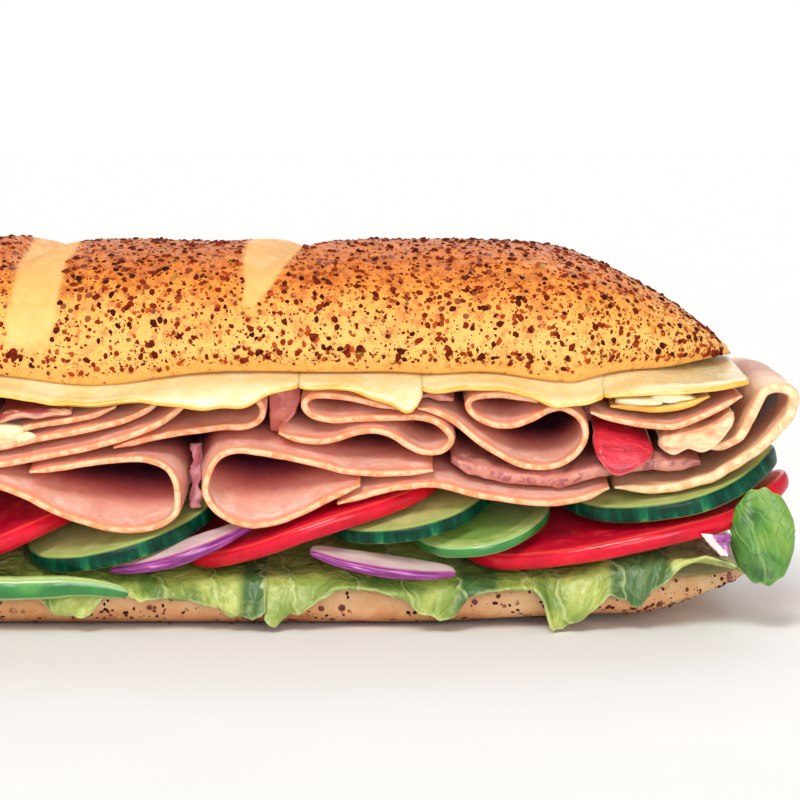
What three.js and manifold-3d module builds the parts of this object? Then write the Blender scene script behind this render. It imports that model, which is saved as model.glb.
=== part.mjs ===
// A footlong submarine sandwich: a split, seasoned loaf filled with lettuce, tomato, cucumber, onion,
// green pepper, folded ham, turkey, bacon and cheese. Millimetres, X along the loaf, -Y is the front,
// Z up, and the flat underside of the loaf lies on z = 0.
//
// Every filling is laid out in the front drawing: x along the loaf and z as seen at the front edge.
// crown() then lifts everything towards the middle of the loaf, as a full sandwich bulges there.
import * as THREE from "three";
import { mergeVertices } from "three/addons/utils/BufferGeometryUtils.js";
import Module from "manifold-3d";

const wasm = await Module();
wasm.setup();

// The loaf.
const LOAF_LENGTH = 313; // a twelve-inch loaf
const LOAF_HEIGHT = 89.5; // with its filling
const TOP_HALF_WIDTH = 38;
const TOP_CUT = 58.9; // cut face of the top half, at the front
const TOP_ROLL = 7; // how far the crust's widest line lies above the cut edge
const BOTTOM_LENGTH = 320;
const BOTTOM_HALF_WIDTH = 36.5;
const BOTTOM_CUT = 9.5; // cut face of the bottom half, at the front
const BOTTOM_WIDEST = 6.5; // height of the widest line of the bottom crust
const END_ROUNDING = 58; // length over which the ridge falls to each tip
const SLASHES = [-65, -6.5, 52]; // where the baker's cuts cross the ridge
const SLASH_SLANT = 0.33; // mm along the loaf for each mm towards the back
const SLASH_WIDTH = 7; // half width
const SLASH_REACH = 36; // half length across the loaf
const SLASH_DEPTH = 3.2;

// The filling.
const FRONT = 42; // where the filling's front edges lie, before each one's own reach
const CROWN = 10; // how much higher the filling lies over the middle line than at FRONT
const CROWN_END = 165; // where the crown has died away at each end
const HAM = 1.7;
const CHEESE = 1.6;
const LEAF = 0.9;
const EDGE_BEND = 38.6; // where cheese and lettuce leave the loaf and hang over
const LIP_START = 28; // from here outwards the top half's edge sags
const LIP_FULL = 37.5; // and from here on by the whole sag
const CHEESE_Z = 57.4;
const LEAF_Z = 10.45;

const COLOURS = {
  crust: 0xe0a45c,
  base: 0xd9b48a,
  cheese: 0xf6e08e,
  ham: 0xeba98f,
  turkey: 0xecc3a2,
  roast: 0xcf9f92,
  bacon: 0xb8423c,
  tomato: 0xd8202a,
  cucumber: 0x2f6b3a,
  onion: 0x8e3a86,
  pepper: 0x6fa83a,
  lettuce: 0x8fbf4d,
};

const lerp = (a, b, t) => a + (b - a) * t;
const clamp01 = (t) => Math.min(1, Math.max(0, t));
const smooth = (a, b, x) => {
  const t = clamp01((x - a) / (b - a));
  return t * t * (3 - 2 * t);
};
const hump = (u) => Math.sin(Math.PI * clamp01(u));

// How far the filling is lifted at a place of the plan: a ridge along the middle line that fades at the ends.
function crown(x, y) {
  const fade = 1 - 0.85 * smooth(105, CROWN_END, Math.abs(x));
  return CROWN * fade * (1 - Math.abs(y) / FRONT);
}

// How far the top half's lower edge sags at a place of the plan, and the cheese under it.
const SAGS = [[2, 19, 4.1], [84, 8, 1.2], [114, 12, 3.2]]; // place, spread and depth
function sagAt(x, y) {
  const depth = SAGS.reduce((sum, [at, spread, most]) => sum + most * Math.exp(-(((x - at) / spread) ** 2)), 0);
  return depth * clamp01((Math.abs(y) - LIP_START) / (LIP_FULL - LIP_START));
}

// A repeatable draw between 0 and 1.
function draws(seed) {
  let s = seed >>> 0;
  return () => {
    s = (s + 0x6d2b79f5) >>> 0;
    let t = Math.imul(s ^ (s >>> 15), s | 1);
    t ^= t + Math.imul(t ^ (t >>> 7), t | 61);
    return ((t ^ (t >>> 14)) >>> 0) / 4294967296;
  };
}

// A smooth line through hand-placed points, thinned to the fewest points that keep its shape.
function curveOf(points, tolerance) {
  const knots = points.map(([x, z]) => new THREE.Vector3(x, 0, z));
  const fine = new THREE.CatmullRomCurve3(knots, false, "centripetal").getSpacedPoints(160);
  const lifted = fine.map((p) => new THREE.Vector3(p.x, 0, p.z + crown(p.x, 0)));
  const off = (line, a, b, i) => {
    const chord = new THREE.Line3(line[a], line[b]);
    return chord.closestPointToPoint(line[i], true, new THREE.Vector3()).distanceTo(line[i]);
  };
  const keep = new Set([0, fine.length - 1]);
  const split = (a, b) => {
    let worst = tolerance;
    let at = -1;
    for (let i = a + 1; i < b; i++) {
      const d = Math.max(off(fine, a, b, i), off(lifted, a, b, i));
      if (d > worst) [worst, at] = [d, i];
    }
    if (at < 0) return;
    keep.add(at);
    split(a, at);
    split(at, b);
  };
  split(0, fine.length - 1);
  return [...keep].sort((a, b) => a - b).map((i) => ({ u: i / (fine.length - 1), x: fine[i].x, z: fine[i].z }));
}

function geometryOf(positions, index) {
  const g = new THREE.BufferGeometry();
  g.setAttribute("position", new THREE.Float32BufferAttribute(positions, 3));
  g.setIndex(index);
  return g;
}

// A closed sheet around a grid of points: rows run along u, columns across v. With a taper it thins towards
// its first and last rows.
function thicken(grid, thickness, taper = 0) {
  const nu = grid.length;
  const nv = grid[0].length;
  const at = (i, j) => grid[Math.min(nu - 1, Math.max(0, i))][Math.min(nv - 1, Math.max(0, j))];
  const positions = [];
  for (const side of [1, -1])
    for (let i = 0; i < nu; i++) {
      const half = (side * thickness * (1 - taper * (1 - Math.sqrt(hump(i / (nu - 1)))))) / 2;
      for (let j = 0; j < nv; j++) {
        const du = at(i + 1, j).clone().sub(at(i - 1, j));
        const dv = at(i, j + 1).clone().sub(at(i, j - 1));
        const n = dv.cross(du).normalize();
        if (n.lengthSq() < 0.5) n.set(0, 0, 1);
        const p = at(i, j).clone().addScaledVector(n, half);
        positions.push(p.x, p.y, p.z);
      }
    }
  const id = (side, i, j) => side * nu * nv + i * nv + j;
  const index = [];
  const quad = (a, b, c, d) => index.push(a, b, c, a, c, d);
  for (let i = 0; i + 1 < nu; i++)
    for (let j = 0; j + 1 < nv; j++) {
      quad(id(0, i, j), id(0, i, j + 1), id(0, i + 1, j + 1), id(0, i + 1, j));
      quad(id(1, i, j), id(1, i + 1, j), id(1, i + 1, j + 1), id(1, i, j + 1));
    }
  for (let i = 0; i + 1 < nu; i++) {
    quad(id(0, i, 0), id(0, i + 1, 0), id(1, i + 1, 0), id(1, i, 0));
    quad(id(0, i + 1, nv - 1), id(0, i, nv - 1), id(1, i, nv - 1), id(1, i + 1, nv - 1));
  }
  for (let j = 0; j + 1 < nv; j++) {
    quad(id(0, 0, j + 1), id(0, 0, j), id(1, 0, j), id(1, 0, j + 1));
    quad(id(0, nu - 1, j), id(0, nu - 1, j + 1), id(1, nu - 1, j + 1), id(1, nu - 1, j));
  }
  // Facing out is settled by the volume's sign.
  const g = geometryOf(positions, index);
  return volumeOf(g) < 0 ? flipped(g) : g;
}

function volumeOf(g) {
  const p = g.attributes.position;
  const [a, b, c] = [new THREE.Vector3(), new THREE.Vector3(), new THREE.Vector3()];
  let six = 0;
  for (let i = 0; i < g.index.count; i += 3) {
    a.fromBufferAttribute(p, g.index.getX(i));
    b.fromBufferAttribute(p, g.index.getX(i + 1));
    c.fromBufferAttribute(p, g.index.getX(i + 2));
    six += a.dot(b.cross(c));
  }
  return six / 6;
}

function flipped(g) {
  const index = [...g.index.array];
  for (let i = 0; i < index.length; i += 3) [index[i + 1], index[i + 2]] = [index[i + 2], index[i + 1]];
  g.setIndex(index);
  return g;
}

// A slice that follows a line of the front drawing and runs across the loaf. stations(u) lists where it is
// met from front to back, each as [y, drop, shift]: how far it lies below the line there, and along from it.
function slice(points, thickness, stations, tolerance = 0.3, taper = 0) {
  const grid = curveOf(points, tolerance).map(({ u, x, z }) =>
    stations(u, x, z).map(([y, drop, shift = 0]) => new THREE.Vector3(x + shift, y, z + crown(x, y) - drop)),
  );
  return thicken(grid, thickness, taper);
}

// Folded meat: from its front edge over the middle line to its back edge, with edges that wander a little.
const meat = (front, back, slant = 0, closing = () => 0, bulge = () => 0) => (u, x, z) => [
  [-(front + slant * (2 * u - 1) - 0.8 * Math.sin(7 * u)), 0],
  [0, closing(x, z), bulge(x)],
  [back - 0.8 * Math.sin(5 * u + 1), 0],
];

// A hollow fold closes up over the middle of the loaf, towards a line of the front drawing.
const closeTowards = ([x0, z0], [x1, z1]) => (x, z) => {
  const away = z - lerp(z0, z1, (x - x0) / (x1 - x0));
  return Math.sign(away) * Math.max(0, 0.88 * Math.abs(away) - 1.25);
};

// Cheese and bacon, as rows of [x, z, front drop, back drop]: flat inside, sagging with the loaf's edge, and
// hanging over it at the front and the back, with cut-off corners.
function drape(rows, thickness, out = 5.2, sag = sagAt) {
  const grid = rows.map(([x, z, front, back], i) => {
    const corner = i === 0 || i === rows.length - 1;
    const at = (y, drop) => new THREE.Vector3(x, y, z + crown(x, y) - sag(x, y) - drop);
    const reach = (drop) => (corner ? EDGE_BEND + 0.6 : EDGE_BEND + out * (0.45 + 0.55 * clamp01(drop / 4)));
    return [
      at(-reach(front), front),
      at(-EDGE_BEND, 0.1 * front),
      at(-LIP_START, 0),
      at(0, 0),
      at(LIP_START, 0),
      at(EDGE_BEND, 0.1 * back),
      at(reach(back), back),
    ];
  });
  return thicken(grid, thickness);
}

// A round or oval vegetable slice in the front row (side -1) or the back row (side 1).
function round(points, thickness, side = -1, outer = 44, inner = 1.6) {
  const middle = (outer + inner) / 2;
  const half = (outer - inner) / 2;
  const x0 = points[0][0];
  const x1 = points[points.length - 1][0];
  const line = curveOf(points, 0.2);
  const count = 12;
  const stations = Array.from({ length: count + 1 }, (_, k) => (1 - 0.985 * Math.cos((Math.PI * k) / count)) / 2);
  const grid = stations.map((share) => {
    const x = lerp(x0, x1, share);
    const k = Math.max(1, line.findIndex((p) => p.x >= x));
    const z = lerp(line[k - 1].z, line[k].z, (x - line[k - 1].x) / (line[k].x - line[k - 1].x));
    const depth = half * Math.sqrt(Math.max(0, 1 - (2 * share - 1) ** 2));
    return [-depth, depth].map((d) => {
      const y = side * middle + d;
      return new THREE.Vector3(x, y, z + crown(x, y));
    });
  });
  return thicken(grid, thickness);
}

// A strip, such as an arc of onion or a stick of pepper: it bows outwards by bow mm, is width mm deep in its
// middle and comes to narrow ends.
const strip = (outer, width, bow = 0) => (u) => {
  const y = outer + bow * (hump(u) - 1);
  return [
    [-y, 0],
    [-y + width * (0.25 + 0.75 * Math.sqrt(hump(u))), 0],
  ];
};

// Lettuce, as rows of [x, front hang, back hang, rise]: flat on the loaf or bulging up from it by the rise, then
// hanging in front of it and behind it, wavy and ragged.
function leaf(rows) {
  const grid = rows.map(([x, front, back, rise = 0]) => {
    const wave = Math.sin(0.47 * x);
    const at = (y, z) => new THREE.Vector3(x, y, z + crown(x, y));
    return [
      at(-(EDGE_BEND + 2.9 + 0.9 * wave), LEAF_Z - front),
      at(-(EDGE_BEND + 2.2 - 0.6 * wave), LEAF_Z + 0.55 * rise - 0.45 * front),
      at(-EDGE_BEND, LEAF_Z + rise),
      at(0, LEAF_Z + rise),
      at(EDGE_BEND, LEAF_Z + rise),
      at(EDGE_BEND + 2.2 - 0.6 * wave, LEAF_Z + 0.55 * rise - 0.45 * back),
      at(EDGE_BEND + 2.9 + 0.9 * wave, LEAF_Z - back),
    ];
  });
  return thicken(grid, LEAF);
}

// The round leaf that leans out at the right end, cupped towards the front.
function roundLeaf(x, y, z, halfWidth, halfHeight, phase = 0) {
  const rows = 8;
  const grid = Array.from({ length: rows + 1 }, (_, i) => {
    const s = Math.cos((Math.PI * (0.04 + (0.92 * i) / rows))) * -1;
    const reach = Math.sqrt(1 - s * s);
    return [-1, -0.4, 0.4, 1].map((t) => {
      const cup = 2.4 * (s * s + 0.5 * t * t) + 0.7 * Math.sin(3 * s + 2 * t + phase);
      return new THREE.Vector3(x + s * halfWidth, y + cup + 0.22 * t * reach * halfHeight, z + t * reach * halfHeight);
    });
  });
  return thicken(grid, LEAF);
}

// A scrap that hangs between the layers, as rows of [z, left x, right x] at a place y of the front.
function scrap(rows, y, thickness) {
  const grid = rows.map(([z, left, right], i) =>
    [0, 0.5, 1].map((t) => new THREE.Vector3(lerp(left, right, t), y - 0.5 * Math.sin(2 * i + 3 * t), z)),
  );
  return thicken(grid, thickness);
}

// A closed solid through a run of rings of equal point count.
function loft(rings) {
  const n = rings[0].length;
  const positions = rings.flat().flatMap((p) => [p.x, p.y, p.z]);
  const index = [];
  for (let i = 0; i + 1 < rings.length; i++)
    for (let j = 0; j < n; j++) {
      const k = (j + 1) % n;
      index.push(i * n + j, i * n + k, (i + 1) * n + k, i * n + j, (i + 1) * n + k, (i + 1) * n + j);
    }
  for (const [ring, turn] of [[0, true], [rings.length - 1, false]]) {
    const centre = rings[ring].reduce((s, p) => s.add(p), new THREE.Vector3()).divideScalar(n);
    const hub = positions.length / 3;
    positions.push(centre.x, centre.y, centre.z);
    for (let j = 0; j < n; j++) {
      const [a, b] = [ring * n + j, ring * n + ((j + 1) % n)];
      index.push(hub, turn ? b : a, turn ? a : b);
    }
  }
  const g = geometryOf(positions, index);
  return volumeOf(g) < 0 ? flipped(g) : g;
}

// Share of the full height and width that the loaf keeps, mm in from a tip.
const ridgeShare = (d) => 1 - Math.pow(1 - clamp01(d / END_ROUNDING), 2.1);
const widthShare = (d, length) => Math.pow(clamp01(d / length), 0.42);

// How deep the baker's cuts go at a place of the top crust, and the ear that rises beside each.
function slashRelief(x, y) {
  let relief = 0;
  for (const at of SLASHES) {
    const across = (x - at - SLASH_SLANT * y) / SLASH_WIDTH;
    const along = y / SLASH_REACH;
    const fade = Math.max(0, 1 - along * along);
    relief -= SLASH_DEPTH * fade * Math.exp(-((across / 0.6) ** 2));
    relief += 0.7 * fade * Math.exp(-(((across + 1.3) / 0.6) ** 2));
  }
  return relief;
}

const power = (v, e) => Math.sign(v) * Math.pow(Math.abs(v), e);

// Stations along a loaf half, closer together at the tips and wherever extra ones are asked for.
function alongLoaf(length, count, extra = []) {
  const even = Array.from({ length: count + 1 }, (_, i) => {
    const s = (2 * i) / count - 1;
    return 0.998 * (length / 2) * (0.72 * s + 0.28 * Math.sin((Math.PI * s) / 2) ** 3);
  });
  const kept = even.filter((x) => extra.every((at) => Math.abs(x - at) > 1.6));
  return [...kept, ...extra].sort((a, b) => a - b);
}

function topRing(x, points) {
  const d = LOAF_LENGTH / 2 - Math.abs(x);
  const w = TOP_HALF_WIDTH * widthShare(d, 40);
  const edge = TOP_CUT + 2.2 * (1 - smooth(0, 22, d));
  const ridge = lerp(edge + 3, LOAF_HEIGHT, ridgeShare(d));
  const roll = Math.min(TOP_ROLL, 0.35 * (ridge - edge));
  const middle = edge + roll;
  const start = -0.42;
  const ring = Array.from({ length: points + 1 }, (_, j) => {
    const a = lerp(start, Math.PI - start, j / points);
    const y = -w * power(Math.cos(a), 0.86);
    const s = Math.sin(a);
    const low = roll / Math.sin(-start);
    const z = s > 0 ? middle + (ridge - middle) * Math.pow(s, 0.88) : middle + low * s;
    const relief = s > 0 ? slashRelief(x, y) * clamp01(d / 20) : 0;
    return new THREE.Vector3(x, y * (1 + relief / 60), z + relief * Math.max(0, s));
  });
  const lowest = ring.map((p) => p.z);
  const cutZ = (y) => Math.min(edge + crown(x, y) - sagAt(x, y), ridge - 2);
  for (const j of [0, points]) {
    ring[j].z = cutZ(ring[j].y);
    const next = j ? points - 1 : 1;
    ring[next].z = Math.max(lowest[next] - 0.7 * sagAt(x, ring[j].y), ring[j].z + 1.2);
  }
  const cut = (y) => new THREE.Vector3(x, y, cutZ(y));
  const inset = Math.min(LIP_START, 0.8 * Math.abs(ring[0].y));
  ring.push(cut(inset), cut(0), cut(-inset));
  return ring;
}

function bottomRing(x, points) {
  const d = BOTTOM_LENGTH / 2 - Math.abs(x);
  const w = BOTTOM_HALF_WIDTH * widthShare(d, 28);
  const rise = 2.6 * smooth(72, 128, Math.abs(x)) + 6 * (1 - smooth(0, 30, d)); // the ends lift off the board
  const widest = BOTTOM_WIDEST + 0.25 * rise;
  const ring = Array.from({ length: points + 1 }, (_, j) => {
    const a = lerp(-0.3, Math.PI + 0.3, j / points);
    const s = Math.sin(a);
    const y = w * power(Math.cos(a), 0.8);
    const z = s > 0 ? widest - (widest - rise + 1.4) * Math.pow(s, 0.62) : widest - (BOTTOM_CUT - widest) * (s / Math.sin(0.3));
    return new THREE.Vector3(x, y, Math.max(rise, z));
  });
  ring[0].z = BOTTOM_CUT + crown(x, ring[0].y);
  ring[points].z = BOTTOM_CUT + crown(x, ring[points].y);
  ring.push(new THREE.Vector3(x, 0, BOTTOM_CUT + crown(x, 0)));
  return ring;
}

const solidOf = (g) => {
  const plain = new THREE.BufferGeometry();
  plain.setAttribute("position", g.attributes.position.clone());
  if (g.index) plain.setIndex(g.index);
  const merged = mergeVertices(plain, 1e-4);
  return new wasm.Manifold(
    new wasm.Mesh({
      numProp: 3,
      vertProperties: Float32Array.from(merged.attributes.position.array),
      triVerts: Uint32Array.from(merged.index.array),
    }),
  );
};

const meshOf = (solid) => {
  const m = solid.getMesh();
  return geometryOf(Array.from(m.vertProperties), Array.from(m.triVerts));
};

// Baked-on seasoning: flat lumps with eight faces, sunk to their middle in the crust. They are spread evenly,
// kept off the baker's cuts, and the largest come first.
function seasoned(loaf, spots) {
  let solid = solidOf(loaf);
  for (const { point, normal, size, turn } of spots) {
    const lump = new THREE.OctahedronGeometry(1);
    const stand = new THREE.Quaternion().setFromUnitVectors(new THREE.Vector3(0, 0, 1), normal);
    lump.scale(size, size * 0.72, Math.min(0.9, size * 0.5)).rotateZ(turn).applyQuaternion(stand);
    lump.translate(point.x, point.y, point.z);
    lump.deleteAttribute("normal");
    lump.deleteAttribute("uv");
    solid = solid.add(solidOf(lump));
  }
  const whole = solid.decompose().sort((a, b) => b.volume() - a.volume())[0];
  return meshOf(whole);
}

function flakeSpots(count, seed, ringAt, length, points, low, high) {
  const draw = draws(seed);
  const spots = [];
  for (let tries = 0; spots.length < count && tries < 40 * count; tries++) {
    const x = (draw() - 0.5) * (length - 14);
    const share = lerp(low, high, draw());
    const [a, b] = [ringAt(x, points), ringAt(x + 0.5, points)];
    const k = Math.floor(share * points);
    const t = share * points - k;
    const point = a[k].clone().lerp(a[k + 1], t);
    const along = b[k].clone().lerp(b[k + 1], t).sub(point);
    const across = a[k + 1].clone().sub(a[k]);
    const normal = along.cross(across).normalize();
    const size = lerp(1.5, 0.75, spots.length / count);
    const cut = SLASHES.some((at) => Math.abs(x - at - SLASH_SLANT * point.y) < SLASH_WIDTH + 1 && Math.abs(point.y) < 34);
    const near = spots.some((s) => s.point.distanceTo(point) < 4.2);
    if ((cut && point.z > TOP_CUT) || near) continue;
    if (normal.dot(new THREE.Vector3(0, point.y, point.z > TOP_CUT ? 20 : -4)) < 0) normal.negate();
    spots.push({ point, normal, size, turn: draw() * Math.PI });
  }
  return spots;
}

const group = new THREE.Group();
function add(name, colour, geometry, roughness = 0.6) {
  const material = new THREE.MeshStandardMaterial({ color: COLOURS[colour], roughness, metalness: 0 });
  const mesh = new THREE.Mesh(geometry, material);
  mesh.name = name;
  group.add(mesh);
}

function addBread() {
  const topPoints = 16;
  const bottomPoints = 14;
  const nearCuts = SLASHES.flatMap((at) => [at - 4.5, at, at + 4.5]);
  const top = loft(alongLoaf(LOAF_LENGTH, 50, nearCuts).map((x) => topRing(x, topPoints)));
  const bottom = loft(alongLoaf(BOTTOM_LENGTH, 34).map((x) => bottomRing(x, bottomPoints)));
  const topSpots = flakeSpots(80, 11, topRing, LOAF_LENGTH, topPoints, 0.09, 0.91);
  const front = flakeSpots(14, 23, bottomRing, BOTTOM_LENGTH, bottomPoints, 0.05, 0.16);
  const back = flakeSpots(14, 29, bottomRing, BOTTOM_LENGTH, bottomPoints, 0.84, 0.95);
  add("bread_top", "crust", seasoned(top, topSpots), 0.7);
  add("bread_bottom", "base", seasoned(bottom, [...front, ...back]), 0.8);
}

function addCheese() {
  const sheet = (n, rows) => {
    const full = rows.map(([x, front, back, rise = 0]) => [x, CHEESE_Z + rise, front, back]);
    add("cheese_" + n, "cheese", drape(full, CHEESE), 0.35);
  };
  sheet(1, [
    [-30, 1, 1], [-22, 1.4, 3], [-13, 1, 3.4], [-5, 0.6, 3.2], [4, 0.7, 4], [14, 0.9, 4], [23, 2.6, 3],
    [32, 4.3, 2.6], [40, 4, 3.4], [46, 1.8, 3], [51.8, 0.4, 0.8],
  ]);
  sheet(2, [
    [52.8, 0.3, 0.5], [58, 0.5, 3], [64, 1, 3.4], [69, 2.3, 2.6], [74, 3.4, 2], [78.4, 4.6, 1], [80.6, 1, 0.5],
  ]);
  sheet(3, [
    [81.5, 0.4, 0.6], [87, 0.5, 2], [95, 0.5, 3], [101, 0.4, 1],
    [106, 0.5, 0.7], [112, 1.8, 1.6], [117, 1.4, 2], [122.4, 0.5, 0.6],
  ]);
  sheet(4, [
    [123.3, 0.5, 0.5, -0.3], [130, 1.6, 1.8], [137, 1.6, 2], [143, 1.2, 1.6], [148, 0.9, 1.4, 0.2],
    [152, 0.7, 1.2, 0.7], [156, 0.6, 0.8, 1.4],
  ]);
  const wedge = [[124.5, 52.2], [129, 51.9], [136, 51.9], [142.5, 53.3], [147.5, 55.2]];
  add("cheese_5", "cheese", slice(wedge, CHEESE, meat(40, 40, 1)), 0.35);
  sheet(6, [
    [-90, 0.5, 0.8], [-82, 2.6, 3.4], [-73, 4.6, 4.4], [-64, 5, 3],
    [-54, 3.4, 1.6], [-46, 2, 2.6], [-38, 1, 2], [-30.9, 0.5, 0.6],
  ]);
  sheet(7, [
    [-157, 0.7, 0.8, 1.4], [-152, 0.8, 1.2, 0.7], [-147, 1.4, 1.6, 0.2], [-139, 3, 2.4],
    [-129, 4.4, 1.6], [-119, 2.8, 2.8], [-108, 1.2, 4], [-99, 2, 2.4], [-90.9, 0.5, 0.6],
  ]);
}

const moved = (points, dx) => points.map(([x, z]) => [x + dx, z]);
const mirrored = (points, dx = 0) => points.map(([x, z]) => [dx - x, z]);

// The folds of each slice in the front drawing.
const FOLDS = {
  low: [
    [-40.5, 38.3], [-30, 38.5], [-16.5, 38.5], [-6.5, 40.5], [3, 42.5], [11.5, 45], [19.5, 48], [25, 51.6], [27.4, 53.7],
  ],
  middle: [
    [-38.5, 41.2], [-26, 41.6], [-16.5, 42], [-8.5, 44], [1.5, 46.2], [10, 48.1], [16.5, 50.6], [20.5, 52.9],
  ],
  high: [[-23.5, 44.6], [-16.5, 45], [-9.5, 46.8], [-2.5, 48.2], [4.5, 49.6], [9.5, 51.4]],
  tuck: [
    [9, 42], [17.5, 44], [25.5, 45.5], [34.5, 47], [40.5, 47.5],
    [43.5, 49.3], [43.8, 51.8], [42, 53.6], [38, 54.2], [33.5, 53.9],
  ],
  purse: [
    [-10, 37], [-2.5, 38], [3.5, 39], [11.5, 40], [17.5, 40], [21.5, 38.5], [23.5, 35.5], [24, 31], [23.5, 28],
    [20, 25.5], [15, 24.5], [9, 25], [3.5, 26.5], [-3.5, 29], [-10, 32.3], [-16.5, 34.6], [-22.5, 35.4],
  ],
  loop: [
    [83.5, 37.5], [76.5, 37], [70, 37], [64.5, 37.5], [58, 39], [50, 41], [42, 42.5], [37.5, 43], [33.5, 41.5],
    [31.5, 38.5], [30.5, 34], [32.5, 30], [36, 27.5], [41, 26], [46.5, 26.5], [52.5, 28.5], [60, 32], [66.8, 34.8],
  ],
  long: [
    [61.5, 30.3], [65.5, 31.4], [70.5, 32.7], [76.5, 33.8], [81.5, 34.3], [86.5, 34], [93.5, 32.3],
    [100.5, 31.3], [110.5, 30.6], [118.5, 31.5], [124.5, 33.6],
  ],
  hairpin: [
    [75.5, 51.2], [69.5, 52.6], [64, 53.9], [59, 54.4], [55, 54.1], [53.5, 52.2], [55, 50], [60, 48.5], [66, 48.9],
    [74, 49], [80.5, 49], [84.5, 48], [87, 46], [88, 44], [86.5, 42], [83.5, 41], [80.5, 41.5], [77.5, 43],
    [74.5, 45], [70.5, 46.3], [65.5, 46], [60.5, 44.2], [56, 43.6], [50, 44.6], [47.5, 45.6],
  ],
  swan: [
    [108, 52.9], [104.5, 53.8], [100, 54.2], [94.8, 53.9], [92.5, 53], [92, 51.2], [93.5, 49.3], [97, 47.5], [101.5, 47],
    [106, 48.5], [110.5, 51], [113.5, 51.5], [117.5, 49.5], [119, 46], [118, 42.5], [114.5, 39.3], [110, 38],
    [103.5, 38.7], [97, 42], [92.5, 45], [88.5, 48.3], [84.5, 50.3], [80, 51.3],
  ],
  smile: [[120, 51.2], [123, 50], [127, 48.9], [133, 48.1], [139, 48.2], [145, 50.4], [150, 52.7], [155, 55.4]],
  curl: [
    [125.9, 33], [134.5, 32.9], [143, 34.2], [151, 37.4], [158.5, 42.6], [164, 47.6], [166.5, 52], [166.5, 55.5],
    [163.5, 57.3], [160.2, 56.6], [158.6, 54], [157, 50], [155, 46.2], [151.5, 43.6], [146.5, 42.8],
  ],
};

function addMeat() {
  const ham = (n, points, stations) => add("ham_" + n, "ham", slice(points, HAM, stations), 0.45);
  const purse = closeTowards([-10, 34.8], [24, 32]);
  const loop = closeTowards([30.5, 40.4], [66.8, 38]);
  const purseBulge = (x) => 3 * smooth(14, 23, x); // the two hollow folds press against each other inside
  const loopBulge = (x) => 2.5 * smooth(32, 41, x) - 2.5;
  const LEFT = -66; // how far along the folds in view are met again in the left half
  ham(1, FOLDS.low, meat(40.3, 40, -1.5));
  ham(2, FOLDS.middle, meat(38.8, 38.8, -1.2));
  ham(3, FOLDS.high, meat(38.6, 38.6, -1));
  ham(4, FOLDS.tuck, meat(38.4, 38.8));
  ham(5, FOLDS.purse, meat(42.5, 42, 1.6, purse, purseBulge));
  ham(6, FOLDS.loop, meat(43, 41.5, 1, loop, loopBulge));
  ham(7, FOLDS.long, meat(42.5, 42));
  ham(8, FOLDS.hairpin, meat(39.2, 39));
  ham(9, FOLDS.swan, meat(39.4, 39.4, 0.4));
  ham(10, FOLDS.smile, meat(41, 41));
  ham(11, moved(FOLDS.low.slice(3), LEFT - 2), meat(39.6, 39.6, -0.8));
  ham(12, moved(FOLDS.tuck, LEFT), meat(38.6, 38.4));
  ham(13, moved(FOLDS.purse, LEFT), meat(42, 42.5, 1.2, (x, z) => purse(x - LEFT, z)));
  ham(14, mirrored(FOLDS.swan), meat(39.4, 39.4, 0.4));
  ham(15, mirrored(FOLDS.smile), meat(40.5, 40.5));
  ham(16, [[-78, 48.4], [-72, 46.8], [-64, 47.6], [-57, 50.2], [-51.5, 53.4]], meat(39, 39));
  add("turkey_1", "turkey", slice(FOLDS.curl, 2.6, meat(40, 40), 0.35), 0.5);
  const level = () => 0;
  const torn = [
    [136.2, 44.3, 1, 1],
    [139, 45.4, 3.4, 2],
    [142.5, 46.4, 3, 3],
    [146, 47.2, 4.2, 2],
    [149.5, 48.8, 3.4, 1],
    [153.2, 51.6, 1, 1],
  ];
  add("turkey_2", "turkey", drape(torn, 2, 5.2, level), 0.5);
  add("turkey_3", "turkey", slice(mirrored(FOLDS.curl), 2.6, meat(40, 40), 0.35), 0.5);
  const shreds = [[43.5, 27.2, 28.6], [39.5, 26.6, 29.2], [35, 26.4, 28.4], [31, 26.2, 28.8], [28.2, 26.6, 28.8]];
  add("turkey_4", "turkey", scrap(shreds, -33, 1), 0.5);
  const layers = [
    [88, 38.9], [92, 37.2], [97, 35.6], [104, 34.5], [113.5, 34.5], [123, 36.9], [132, 38.4], [139.5, 38.8], [146, 39.4],
  ];
  add("roast_1", "roast", slice(layers, 3.2, meat(39.5, 39.5)), 0.55);
  const leftLayers = [[-78, 40.9], [-83, 40.5], ...mirrored(layers)];
  add("roast_3", "roast", slice(leftLayers, 3.2, meat(40, 39.5)), 0.55);
  add("roast_2", "roast", slice([[81, 53.6], [85.5, 53.4], [88.6, 52.6]], 2.2, meat(38, 38), 0.1), 0.55);
  const streaky = [
    [-17, 49, 1.2, 1], [-12, 50, 0.4, 0.6], [-8, 50.2, 1, 0.2], [-4, 50.4, 0.3, 0.8], [-0.6, 50.7, 0.6, 0.4],
  ];
  const red = [
    [120.9, 45.4, 1.5, 1], [122.5, 45.6, 5, 2], [125.5, 45.2, 7.6, 2],
    [128.5, 44.6, 6.6, 1], [131.5, 43.6, 4, 1], [134.6, 42.3, 0.8, 0.6],
  ];
  add("bacon_1", "bacon", drape(streaky, 2, 2, level), 0.4);
  add("bacon_2", "bacon", drape(red, 2, 5.2, level), 0.4);
}

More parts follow.
